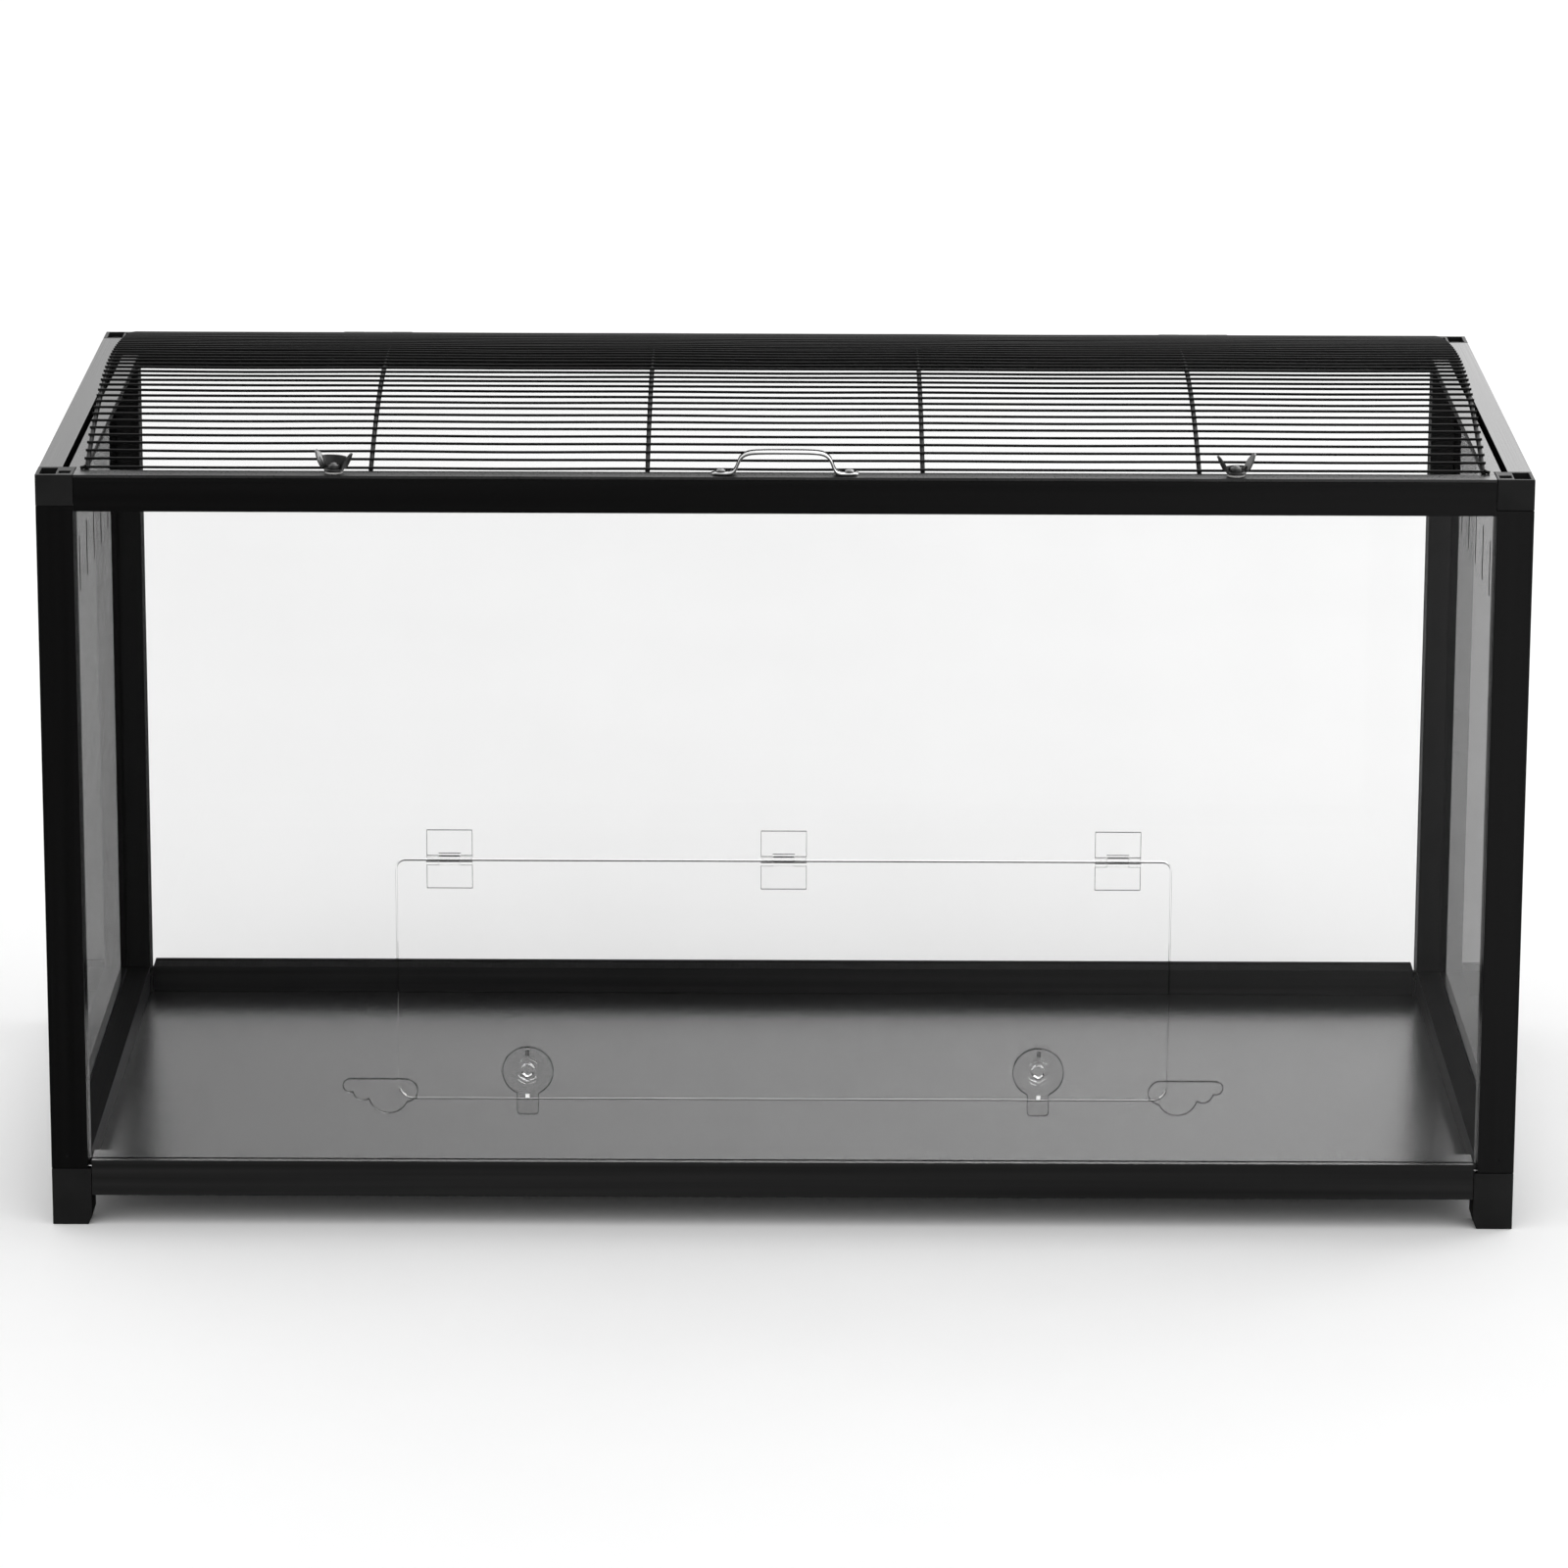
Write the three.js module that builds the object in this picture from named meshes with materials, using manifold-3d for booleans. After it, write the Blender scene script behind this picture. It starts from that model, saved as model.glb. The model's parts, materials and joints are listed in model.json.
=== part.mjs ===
// A hamster cage: a black aluminium frame, clear acrylic walls, a hinged wire lid and a hinged front door.
// Millimetres, +Z up, the front faces -Y. The origin is on the floor, under the middle of the cage.

import * as THREE from 'three';
import { mergeVertices } from 'three/addons/utils/BufferGeometryUtils.js';
import Module from 'manifold-3d';

const wasm = await Module();
wasm.setup();

// ---- Driving dimensions ----

const CAGE = { width: 1000, depth: 500, height: 525 };
const HALF_WIDTH = CAGE.width / 2;
const HALF_DEPTH = CAGE.depth / 2;

const GAP = 0.3; // clearance left between pieces that meet

// The square aluminium section that the posts and rails are cut from.
const BAR = 25;
const WALL = 1.2;
const PANEL = 3; // thickness of every acrylic panel and of the floor
const PANEL_SETBACK = 5; // from the outer face of the frame to the panel
const SLOT = { start: PANEL_SETBACK - GAP, end: PANEL_SETBACK + PANEL + GAP, depth: 8 };
const PANEL_BITE = SLOT.depth - 0.5; // how far a panel's edge sits in its slot

// Corner connectors: a solid corner with a plug into each of the three bars that meet there.
const TOP_CORNER_HEIGHT = 21;
const FOOT = { width: 27, height: 40, chamfer: 2.5, chamferHeight: 6 };
const PLUG = { near: 1.5, far: 14.5, length: 25 };
const CHAMBER = 14.8; // how far the chamber that takes the plug reaches from the outer faces

const RAIL_BOTTOM = 21;
const RAIL_TOP = RAIL_BOTTOM + BAR;
const TOP_RAIL_BOTTOM = CAGE.height - BAR;
const LID_SEAT = 22.7; // height of the top rails' seat for the lid, above their underside
const TOP_RAIL_STEP = 5.8; // the inner part of a top rail ends this far above its outer face
const RIB = 16; // width of the raised outer rib on the side top rails
const DRAIN = { end: 20.5, bottom: 14 }; // channel between the rib and the lid's seat

const FLOOR_BOTTOM = 24;
const FLOOR_BITE = 5.5;

// Door in the front panel.
const DOOR = { halfWidth: 262, bottom: 90, top: 258, topRadius: 6, bottomRadius: 10, gap: 0.8 };
const PANEL_FRONT = -HALF_DEPTH + PANEL_SETBACK;
const DOOR_HINGE = { barrel: 3.3, leaf: 1.5, reach: 20.5, width: 31, knuckle: 8, pin: 1.25, segments: 12 };
const DOOR_HINGE_X = [-226, 0, 226];
const DOOR_AXIS_Z = DOOR.top + 1.5;
const DOOR_AXIS_Y = PANEL_FRONT - GAP - DOOR_HINGE.barrel;

const LATCH = {
  x: 174, z: 110, radius: 17.5, disc: 3, finProud: 8, fin: 2.6, tongue: 15, reach: 31, corner: 3, shaft: 4,
};
const RETAINER = { radius: 8, thickness: 2 };
const STOP = { x: 275, z: 90.2, height: 25 };

// Lid.
const STRIP = { bottom: CAGE.height - 2, thickness: 2, depth: 16, side: 11.2, outer: 479.7 };
const STRIP_TOP = STRIP.bottom + STRIP.thickness;
const STRIP_MIDDLE_Y = HALF_DEPTH - STRIP.depth / 2;
const LID_HALF_WIDTH = HALF_WIDTH - BAR - 0.5;
const LID_HINGE = { barrel: 3, leaf: 1.5, reach: 24, width: 50, knuckle: 15, pin: 1.5, segments: 12 };
const LID_LEAF_REACH = 15; // the lid's leaf lies flush in a notch in the rear strip
const LID_HINGE_X = [-300, 300];
const LID_AXIS_Y = HALF_DEPTH + GAP + LID_HINGE.barrel;
const LID_AXIS_Z = STRIP_TOP - LID_HINGE.barrel;

// The wires' crown rises steeply behind the front strip, crests a little in front of the middle and falls
// away more gently to the rear.
const CROWN = { rise: 39, crestY: -38, front: { span: 198, power: 2.1 }, rear: { span: 274, power: 1.75 } };
const ARCH = { thickness: 2.4, footSlant: 0.6 };
const ARCH_X = [-467, -277, -92, 92, 277, 467];
const WIRE = { count: 47, halfDiagonal: 0.95, sink: 0.5, firstY: -232, halfLength: 469.3 };
const ARCH_DROP = ARCH.thickness / 2 + WIRE.halfDiagonal - WIRE.sink; // from the wires' middle to the arches'

const SCREW = {
  x: 301, shank: 2.5, length: 12, boss: 6, base: 1.9, bossTop: 8.6, turn: [-0.43, 0.35],
  holeInStrip: 2.9, holeInRail: 3.6,
};
const WASHER = { radius: 6, thickness: 1.3 };
const HANDLE = { foot: 49.5, leg: 34, bow: 30, height: 16.5, strap: 1.6, width: 12, screwX: 43 };
const HANDLE_SCREW = { shank: 1.5, head: 3.2, headHeight: 1.8, hole: 1.8 };

const VENT = { count: 7, pitch: 50, width: 6, height: 40, top: 439 };

// ---- Finishes ----

const anodised = () => new THREE.MeshStandardMaterial({ color: 0x17181a, roughness: 0.35, metalness: 0.6 });
const blackPlastic = () => new THREE.MeshStandardMaterial({ color: 0x222325, roughness: 0.5, metalness: 0 });
const blackSteel = () => new THREE.MeshStandardMaterial({ color: 0x131313, roughness: 0.4, metalness: 0.3 });
const floorPlastic = () => new THREE.MeshStandardMaterial({ color: 0x1b1c1e, roughness: 0.25, metalness: 0 });
const chrome = () => new THREE.MeshStandardMaterial({ color: 0xd8dadc, roughness: 0.1, metalness: 1 });
const steel = () => new THREE.MeshStandardMaterial({ color: 0x9a9ca0, roughness: 0.35, metalness: 1 });
const nylon = () => new THREE.MeshStandardMaterial({ color: 0xf0efe9, roughness: 0.5, metalness: 0 });
const acrylic = () => new THREE.MeshStandardMaterial({
  color: 0xe8edef, roughness: 0.05, metalness: 0, transparent: true, opacity: 0.3,
});

// ---- Helpers ----

function toSolid(geometry) {
  const bare = geometry.clone();
  bare.deleteAttribute('normal');
  bare.deleteAttribute('uv');
  const merged = mergeVertices(bare, 1e-4);
  return new wasm.Manifold(new wasm.Mesh({
    numProp: 3,
    vertProperties: new Float32Array(merged.attributes.position.array),
    triVerts: new Uint32Array(merged.index.array),
  }));
}

function toGeometry(solid) {
  const { vertProperties, triVerts } = solid.getMesh();
  const geometry = new THREE.BufferGeometry();
  geometry.setAttribute('position', new THREE.BufferAttribute(vertProperties, 3));
  geometry.setIndex(new THREE.BufferAttribute(triVerts, 1));
  const flat = geometry.toNonIndexed();
  flat.computeVertexNormals();
  return flat;
}

const join = (...geometries) => toGeometry(wasm.Manifold.union(geometries.map(toSolid)));

function cut(geometry, ...tools) {
  return toGeometry(toSolid(geometry).subtract(wasm.Manifold.union(tools.map(toSolid))));
}

// A box given by its lowest and highest corners.
function block([x0, y0, z0], [x1, y1, z1]) {
  return new THREE.BoxGeometry(x1 - x0, y1 - y0, z1 - z0)
    .translate((x0 + x1) / 2, (y0 + y1) / 2, (z0 + z1) / 2);
}

// An outline drawn in the plane across an axis, and extruded from one place on that axis to another.
// Across 'z' the outline is (x, y), across 'y' it is (x, z) and across 'x' it is (y, z).
function prism(axis, shape, from, to, curveSegments = 6) {
  const geometry = new THREE.ExtrudeGeometry(shape, { depth: to - from, bevelEnabled: false, curveSegments });
  if (axis === 'x') return geometry.rotateY(Math.PI / 2).rotateX(Math.PI / 2).translate(from, 0, 0);
  if (axis === 'y') return geometry.rotateX(Math.PI / 2).translate(0, to, 0);
  return geometry.translate(0, 0, from);
}

const outline = (points) => new THREE.Shape(points.map(([a, b]) => new THREE.Vector2(a, b)));

// A cylinder along an axis, between two places on it.
function rod(axis, radius, from, to, segments = 16) {
  const geometry = new THREE.CylinderGeometry(radius, radius, to - from, segments);
  const middle = (from + to) / 2;
  if (axis === 'x') return geometry.rotateZ(Math.PI / 2).translate(middle, 0, 0);
  if (axis === 'y') return geometry.translate(0, middle, 0);
  return geometry.rotateX(Math.PI / 2).translate(0, 0, middle);
}

function roundedRect(left, bottom, right, top, bottomRadius, topRadius, shape = new THREE.Shape()) {
  shape.moveTo(left + bottomRadius, bottom);
  shape.lineTo(right - bottomRadius, bottom);
  shape.absarc(right - bottomRadius, bottom + bottomRadius, bottomRadius, -Math.PI / 2, 0, false);
  shape.lineTo(right, top - topRadius);
  shape.absarc(right - topRadius, top - topRadius, topRadius, 0, Math.PI / 2, false);
  shape.lineTo(left + topRadius, top);
  shape.absarc(left + topRadius, top - topRadius, topRadius, Math.PI / 2, Math.PI, false);
  shape.lineTo(left, bottom + bottomRadius);
  shape.absarc(left + bottomRadius, bottom + bottomRadius, bottomRadius, Math.PI, Math.PI * 1.5, false);
  return shape;
}

// The outline of a strap of one thickness that follows a list of points.
function ribbon(points, thickness) {
  const sides = [[], []];
  points.forEach((point, i) => {
    const before = points[Math.max(i - 1, 0)];
    const after = points[Math.min(i + 1, points.length - 1)];
    const along = after.clone().sub(before).normalize();
    const across = new THREE.Vector2(-along.y, along.x).multiplyScalar(thickness / 2);
    sides[0].push(point.clone().add(across));
    sides[1].push(point.clone().sub(across));
  });
  return new THREE.Shape([...sides[0], ...sides[1].reverse()]);
}

const cage = new THREE.Group();

function add(name, geometry, material, parent = cage) {
  const mesh = new THREE.Mesh(geometry, material);
  mesh.name = name;
  parent.add(mesh);
  return mesh;
}

// A group placed at a corner of the cage. In it, +X and +Y point inwards from the outer faces.
function cornerGroup(left, front) {
  const group = new THREE.Group();
  group.position.set(left ? -HALF_WIDTH : HALF_WIDTH, front ? -HALF_DEPTH : HALF_DEPTH, 0);
  group.scale.set(left ? 1 : -1, front ? 1 : -1, 1);
  cage.add(group);
  return group;
}

const CORNERS = [
  { name: 'front_left', left: true, front: true },
  { name: 'front_right', left: false, front: true },
  { name: 'rear_left', left: true, front: false },
  { name: 'rear_right', left: false, front: false },
];

// ---- Frame ----

// A post's section: a slot for the front or rear panel, one for the side panel, and two joined chambers.
function postShape() {
  const slotEnd = BAR - SLOT.depth;
  const inner = SLOT.end + WALL;
  const far = BAR - WALL;
  const shape = outline([
    [0, 0], [BAR, 0], [BAR, SLOT.start], [slotEnd, SLOT.start], [slotEnd, SLOT.end], [BAR, SLOT.end],
    [BAR, BAR], [SLOT.end, BAR], [SLOT.end, slotEnd], [SLOT.start, slotEnd], [SLOT.start, BAR], [0, BAR],
  ]);
  shape.holes.push(outline([
    [WALL, WALL], [CHAMBER, WALL], [CHAMBER, inner], [far, inner],
    [far, far], [inner, far], [inner, CHAMBER], [WALL, CHAMBER],
  ]));
  return shape;
}

// A bottom rail's section, inwards from its outer face and up from its underside:
// the panel stands in a slot in its top and the floor slides into a groove in its inner face.
function bottomRailShape() {
  const slotEnd = BAR - SLOT.depth;
  const groove = { start: BAR - FLOOR_BITE - 0.8, low: FLOOR_BOTTOM - RAIL_BOTTOM - GAP };
  groove.high = groove.low + PANEL + 2 * GAP;
  const inner = SLOT.end + WALL;
  const far = BAR - WALL;
  const shape = outline([
    [0, 0], [BAR, 0], [BAR, groove.low], [groove.start, groove.low],
    [groove.start, groove.high], [BAR, groove.high], [BAR, BAR],
    [SLOT.end, BAR], [SLOT.end, slotEnd], [SLOT.start, slotEnd], [SLOT.start, BAR], [0, BAR],
  ]);
  const step = groove.start - WALL;
  shape.holes.push(outline([
    [WALL, WALL], [step, WALL], [step, groove.high + WALL], [far, groove.high + WALL],
    [far, far], [inner, far], [inner, CHAMBER], [WALL, CHAMBER],
  ]));
  return shape;
}

// A top rail's section. The lid lies on its seat. The side rails have a raised rib outside the lid, and an
// open channel between the two.
function topRailShape(hasRib) {
  const far = BAR - WALL;
  const ceiling = LID_SEAT - WALL;
  const top = hasRib
    ? [[DRAIN.end, LID_SEAT], [DRAIN.end, DRAIN.bottom], [RIB, DRAIN.bottom], [RIB, BAR], [0, BAR]]
    : [[0, LID_SEAT]];
  const shape = outline([
    [0, 0], [SLOT.start, 0], [SLOT.start, SLOT.depth], [SLOT.end, SLOT.depth], [SLOT.end, TOP_RAIL_STEP],
    [BAR, TOP_RAIL_STEP], [BAR, LID_SEAT], ...top,
  ]);
  const chamberFloor = SLOT.depth + WALL;
  const underDrain = DRAIN.bottom - WALL;
  const chamberTop = hasRib
    ? [[far, underDrain], [CHAMBER, underDrain], [CHAMBER, ceiling], [WALL, ceiling]]
    : [[far, ceiling], [WALL, ceiling]];
  shape.holes.push(outline([
    [WALL, chamberFloor], [far, chamberFloor], ...chamberTop,
  ]));
  return shape;
}

const topPlug = {
  low: TOP_RAIL_BOTTOM + SLOT.depth + WALL + GAP,
  high: TOP_RAIL_BOTTOM + LID_SEAT - WALL - GAP,
};

// A top corner: an open pocket with a round screw boss, and a small slot beside it.
function topConnector() {
  const bottom = CAGE.height - TOP_CORNER_HEIGHT;
  const { near, far, length } = PLUG;
  const pocketFloor = bottom + 4;
  const body = cut(
    block([0, 0, bottom], [BAR, BAR, CAGE.height]),
    block([2.5, 2.5, pocketFloor], [13.5, BAR - 2.5, CAGE.height + 1]),
    block([15, 5, CAGE.height - 12], [BAR - 2, 13.5, CAGE.height + 1]),
  );
  const boss = cut(
    rod('z', 4.5, pocketFloor - 1, CAGE.height - 3),
    rod('z', 1.6, pocketFloor + 2, CAGE.height, 8),
  ).translate(8, 8, 0);
  return join(
    body,
    boss,
    block([near, near, bottom - length], [far, far, bottom + 1]),
    block([BAR - 1, near, topPlug.low], [BAR + length, far, topPlug.high]),
    block([near, BAR - 1, topPlug.low], [far, BAR + length, topPlug.high]),
  );
}

// A bottom corner: a block that the cage stands on, chamfered under its two inner sides.
function bottomConnector() {
  const { near, far, length } = PLUG;
  const { width, height, chamfer, chamferHeight } = FOOT;
  const low = RAIL_BOTTOM + near;
  const high = RAIL_BOTTOM + far;
  const side = outline([[0, 0], [width - chamfer, 0], [width, chamferHeight], [width, height], [0, height]]);
  const body = toSolid(prism('y', side, 0, width)).intersect(toSolid(prism('x', side, 0, width)));
  return join(
    toGeometry(body),
    block([near, near, height - 1], [far, far, height + length]),
    block([width - 1, near, low], [width + length, far, high]),
    block([near, width - 1, low], [far, width + length, high]),
  );
}

// Rails are drawn at the front and the left, and turned or mirrored to the other sides.
function addRail(name, shape, halfLength, height, side, material) {
  const along = side === 'front' || side === 'rear' ? 'x' : 'y';
  const mesh = add(name, prism(along, shape, -halfLength, halfLength), material);
  const distance = along === 'x' ? HALF_DEPTH : HALF_WIDTH;
  const mirrored = side === 'rear' || side === 'right' ? -1 : 1;
  if (along === 'x') mesh.position.set(0, -distance * mirrored, height);
  else mesh.position.set(-distance * mirrored, 0, height);
  if (along === 'x') mesh.scale.y = mirrored;
  else mesh.scale.x = mirrored;
  return mesh;
}

function buildFrame() {
  const postBottom = FOOT.height + GAP;
  const postTop = CAGE.height - TOP_CORNER_HEIGHT - GAP;
  for (const { name, left, front } of CORNERS) {
    const group = cornerGroup(left, front);
    add(`${name}_post`, prism('z', postShape(), postBottom, postTop), anodised(), group);
    add(`${name}_top_connector`, topConnector(), blackPlastic(), group);
    add(`${name}_bottom_connector`, bottomConnector(), blackPlastic(), group);
  }
  for (const side of ['front', 'rear', 'left', 'right']) {
    const isLong = side === 'front' || side === 'rear';
    const half = isLong ? HALF_WIDTH : HALF_DEPTH;
    addRail(`${side}_bottom_rail`, bottomRailShape(), half - FOOT.width - GAP, RAIL_BOTTOM, side, anodised());
    const topShape = topRailShape(!isLong);
    const top = addRail(`${side}_top_rail`, topShape, half - BAR - GAP, TOP_RAIL_BOTTOM, side, anodised());
    if (side === 'front') top.geometry = drillScrewHoles(top.geometry);
  }
}

// The lid's two wing screws pass into the front top rail.
function drillScrewHoles(geometry) {
  const holes = [-SCREW.x, SCREW.x].map((x) => (
    rod('z', SCREW.holeInRail, LID_SEAT - WALL - 1, LID_SEAT + 1).translate(x, STRIP.depth / 2, 0)
  ));
  return cut(geometry, ...holes);
}

// ---- Panels ----

// A wall's outline: its edges stand in the posts' slots, and narrower tongues in the rails' slots.
function wallShape(half) {
  const inPosts = half - BAR + PANEL_BITE;
  const topTongue = half - BAR - 2 * GAP;
  const bottomTongue = half - FOOT.width - 2 * GAP;
  const footTop = FOOT.height + GAP;
  const cornerBottom = CAGE.height - TOP_CORNER_HEIGHT - GAP;
  const bottom = RAIL_TOP - PANEL_BITE;
  const top = TOP_RAIL_BOTTOM + PANEL_BITE;
  return outline([
    [-bottomTongue, bottom], [bottomTongue, bottom], [bottomTongue, footTop], [inPosts, footTop],
    [inPosts, cornerBottom], [topTongue, cornerBottom], [topTongue, top], [-topTongue, top],
    [-topTongue, cornerBottom], [-inPosts, cornerBottom], [-inPosts, footTop], [-bottomTongue, footTop],
  ]);
}

function frontPanelShape() {
  const shape = wallShape(HALF_WIDTH);
  const { halfWidth, bottom, top, topRadius, bottomRadius, gap } = DOOR;
  shape.holes.push(roundedRect(
    -halfWidth - gap, bottom - gap, halfWidth + gap, top + gap,
    bottomRadius + gap, topRadius + gap, new THREE.Path(),
  ));
  return shape;
}

function sidePanelShape() {
  const shape = wallShape(HALF_DEPTH);
  const radius = VENT.width / 2 - 0.01;
  for (let i = 0; i < VENT.count; i++) {
    const y = (i - (VENT.count - 1) / 2) * VENT.pitch;
    const left = y - VENT.width / 2;
    const bottom = VENT.top - VENT.height;
    shape.holes.push(
      roundedRect(left, bottom, left + VENT.width, VENT.top, radius, radius, new THREE.Path()),
    );
  }
  return shape;
}

function floorShape() {
  const x = HALF_WIDTH - BAR + FLOOR_BITE;
  const y = HALF_DEPTH - BAR + FLOOR_BITE;
  const notchX = HALF_WIDTH - FOOT.width - 2 * GAP;
  const notchY = HALF_DEPTH - FOOT.width - 2 * GAP;
  return outline([
    [-notchX, -y], [notchX, -y], [notchX, -notchY], [x, -notchY], [x, notchY], [notchX, notchY],
    [notchX, y], [-notchX, y], [-notchX, notchY], [-x, notchY], [-x, -notchY], [-notchX, -notchY],
  ]);
}

function buildPanels() {
  const rear = HALF_DEPTH - PANEL_SETBACK;
  const side = HALF_WIDTH - PANEL_SETBACK;
  add('front_panel', prism('y', frontPanelShape(), PANEL_FRONT, PANEL_FRONT + PANEL), acrylic());
  add('rear_panel', prism('y', wallShape(HALF_WIDTH), rear - PANEL, rear), acrylic());
  add('left_panel', prism('x', sidePanelShape(), -side, -side + PANEL, 4), acrylic());
  add('right_panel', prism('x', sidePanelShape(), side - PANEL, side, 4), acrylic());
  add('floor_panel', prism('z', floorShape(), FLOOR_BOTTOM, FLOOR_BOTTOM + PANEL), floorPlastic());
}

// ---- Hinges ----

// One leaf of a butt hinge about the X axis. Its plate touches the back of the barrel and runs up.
// The outer leaf has the knuckles at both ends and the inner leaf has the one between them.
function hingeLeaf(hinge, isOuter) {
  const { barrel, leaf, reach, width, knuckle, pin, segments } = hinge;
  const half = width / 2;
  const innerHalf = half - knuckle - GAP;
  const spans = isOuter ? [[-half, -half + knuckle], [half - knuckle, half]] : [[-innerHalf, innerHalf]];
  const plateStart = barrel + 0.6;
  const pieces = [block([-half, barrel - leaf, plateStart], [half, barrel, reach])];
  for (const [from, to] of spans) {
    pieces.push(rod('x', barrel, from, to));
    pieces.push(block([from, barrel - leaf, 0], [to, barrel, plateStart + 1]));
  }
  return cut(join(...pieces), rod('x', pin + 0.2, -half - 1, half + 1, segments));
}

const hingePin = ({ pin, width, segments }) => rod('x', pin, -width / 2, width / 2, segments);

function buildDoor() {
  const { halfWidth, bottom, top, topRadius, bottomRadius } = DOOR;
  const shape = roundedRect(-halfWidth, bottom, halfWidth, top, bottomRadius, topRadius);
  const holes = [-LATCH.x, LATCH.x].map((x) => (
    rod('y', LATCH.shaft + 0.6, PANEL_FRONT - 1, PANEL_FRONT + PANEL + 1).translate(x, 0, LATCH.z)
  ));
  add('door_panel', cut(prism('y', shape, PANEL_FRONT, PANEL_FRONT + PANEL), ...holes), acrylic());
  ['left', 'middle', 'right'].forEach((place, i) => {
    const group = new THREE.Group();
    group.position.set(DOOR_HINGE_X[i], DOOR_AXIS_Y, DOOR_AXIS_Z);
    cage.add(group);
    add(`${place}_door_hinge_fixed_leaf`, hingeLeaf(DOOR_HINGE, true), acrylic(), group);
    const moving = add(`${place}_door_hinge_moving_leaf`, hingeLeaf(DOOR_HINGE, false), acrylic(), group);
    moving.rotation.y = Math.PI;
    add(`${place}_door_hinge_pin`, hingePin(DOOR_HINGE), acrylic(), group);
  });
}

// ---- Latches and door stops ----

// A turn button: a disc with a tongue, a finger fin across it, and a shaft through the door.
// Its axis is Y, its tongue hangs down, and y = 0 is the front of the door.
function latchKnob() {
  const { radius, disc, finProud, fin, tongue, reach, corner, shaft } = LATCH;
  const half = tongue / 2;
  const meet = Math.asin(half / radius);
  const shape = new THREE.Shape();
  shape.absarc(0, 0, radius, -Math.PI / 2 + meet, Math.PI * 1.5 - meet, false);
  shape.lineTo(-half, -reach + corner);
  shape.absarc(-half + corner, -reach + corner, corner, Math.PI, Math.PI * 1.5, false);
  shape.lineTo(half - corner, -reach);
  shape.absarc(half - corner, -reach + corner, corner, -Math.PI / 2, 0, false);
  const front = -GAP - disc;
  const finShape = outline([
    [front + 0.5, -radius + 0.5], [front - finProud + 3, -radius + 0.5], [front - finProud, -radius + 4],
    [front - finProud, radius - 4], [front - finProud + 3, radius - 0.5], [front + 0.5, radius - 0.5],
  ]);
  return join(
    prism('y', shape, front, -GAP, 14),
    prism('x', finShape, -fin / 2, fin / 2),
    rod('y', 8.5, front - 0.8, front + 0.5, 24),
    rod('y', 5.3, front - 2, front, 20),
    rod('y', shaft, front + 0.5, PANEL + GAP + RETAINER.thickness + GAP),
  );
}

function latchRetainer() {
  const from = PANEL + GAP;
  return cut(
    rod('y', RETAINER.radius, from, from + RETAINER.thickness),
    rod('y', LATCH.shaft + 0.35, from - 1, from + RETAINER.thickness + 1),
  );
}

// A door stop in the shape of an upturned cloud: its inner end laps over the door's lower corner.
function stopSolid() {
  const top = STOP.height / 2;
  const lobes = [[-20.7, 7.4, 5], [-12, 3.5, 7], [5.5, 1.5, 14], [17.2, 4, 8.5]];
  const back = PANEL_FRONT + PANEL + GAP;
  const pieces = lobes.map(([x, z, r]) => rod('y', r, back, back + PANEL, 28).translate(x, 0, z));
  const bar = block([-20.7, back, 4], [18, back + PANEL, top]);
  const above = block([-30, back - 1, top], [30, back + PANEL + 1, top + 10]);
  return cut(join(bar, ...pieces), above);
}

function buildLatchesAndStops() {
  for (const [side, sign] of [['left', -1], ['right', 1]]) {
    const latch = new THREE.Group();
    latch.position.set(sign * LATCH.x, PANEL_FRONT, LATCH.z);
    cage.add(latch);
    add(`${side}_latch_knob`, latchKnob(), acrylic(), latch);
    add(`${side}_latch_retainer`, latchRetainer(), acrylic(), latch);
    const stop = add(`${side}_door_stop`, stopSolid(), acrylic());
    stop.position.set(sign * STOP.x, 0, STOP.z);
    stop.scale.x = -sign;
  }
}

// ---- Lid ----

// Height of the wires' middle above the lid's strips.
function crownHeight(y) {
  const { span, power } = y < CROWN.crestY ? CROWN.front : CROWN.rear;
  return CROWN.rise * (1 - Math.abs((y - CROWN.crestY) / span) ** power);
}

// The wires' places, evenly spaced along the crown from front to rear.
function wirePlaces() {
  const steps = 400;
  const points = Array.from({ length: steps + 1 }, (_, i) => {
    const y = WIRE.firstY * (1 - 2 * i / steps);
    return new THREE.Vector2(y, crownHeight(y));
  });
  const curve = new THREE.Path(points);
  return curve.getSpacedPoints(WIRE.count - 1);
}

// The wires lie across six arched wires and are welded to them. All of it is one piece.
// An arch runs straight between every second wire, and the wires between those lie on its straights.
function grille() {
  const wires = wirePlaces();
  const crests = wires.filter((_, i) => i % 2 === 0).map(({ x, y }) => new THREE.Vector2(x, y - ARCH_DROP));
  const footY = WIRE.firstY - ARCH.footSlant;
  const footZ = -STRIP.thickness / 2;
  const frontFoot = new THREE.Vector2(footY, footZ);
  const rearFoot = new THREE.Vector2(-footY, footZ);
  const strap = ribbon([frontFoot, ...crests, rearFoot], ARCH.thickness);
  const half = ARCH.thickness / 2;
  const solids = ARCH_X.map((x) => prism('x', strap, x - half, x + half));
  const d = WIRE.halfDiagonal;
  const diamond = outline([[0, -d], [d, 0], [0, d], [-d, 0]]);
  for (const [i, place] of wires.entries()) {
    const { x: y, y: z } = i % 2 === 0 ? place : wires[i - 1].clone().lerp(wires[i + 1], 0.5);
    solids.push(prism('x', diamond, -WIRE.halfLength, WIRE.halfLength).translate(0, y, z));
  }
  return join(...solids).translate(0, 0, STRIP_TOP);
}

function screwHoles(xs, radius) {
  return xs.map((x) => rod('z', radius, STRIP.bottom - 1, STRIP_TOP + 1).translate(x, -STRIP_MIDDLE_Y, 0));
}

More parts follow.
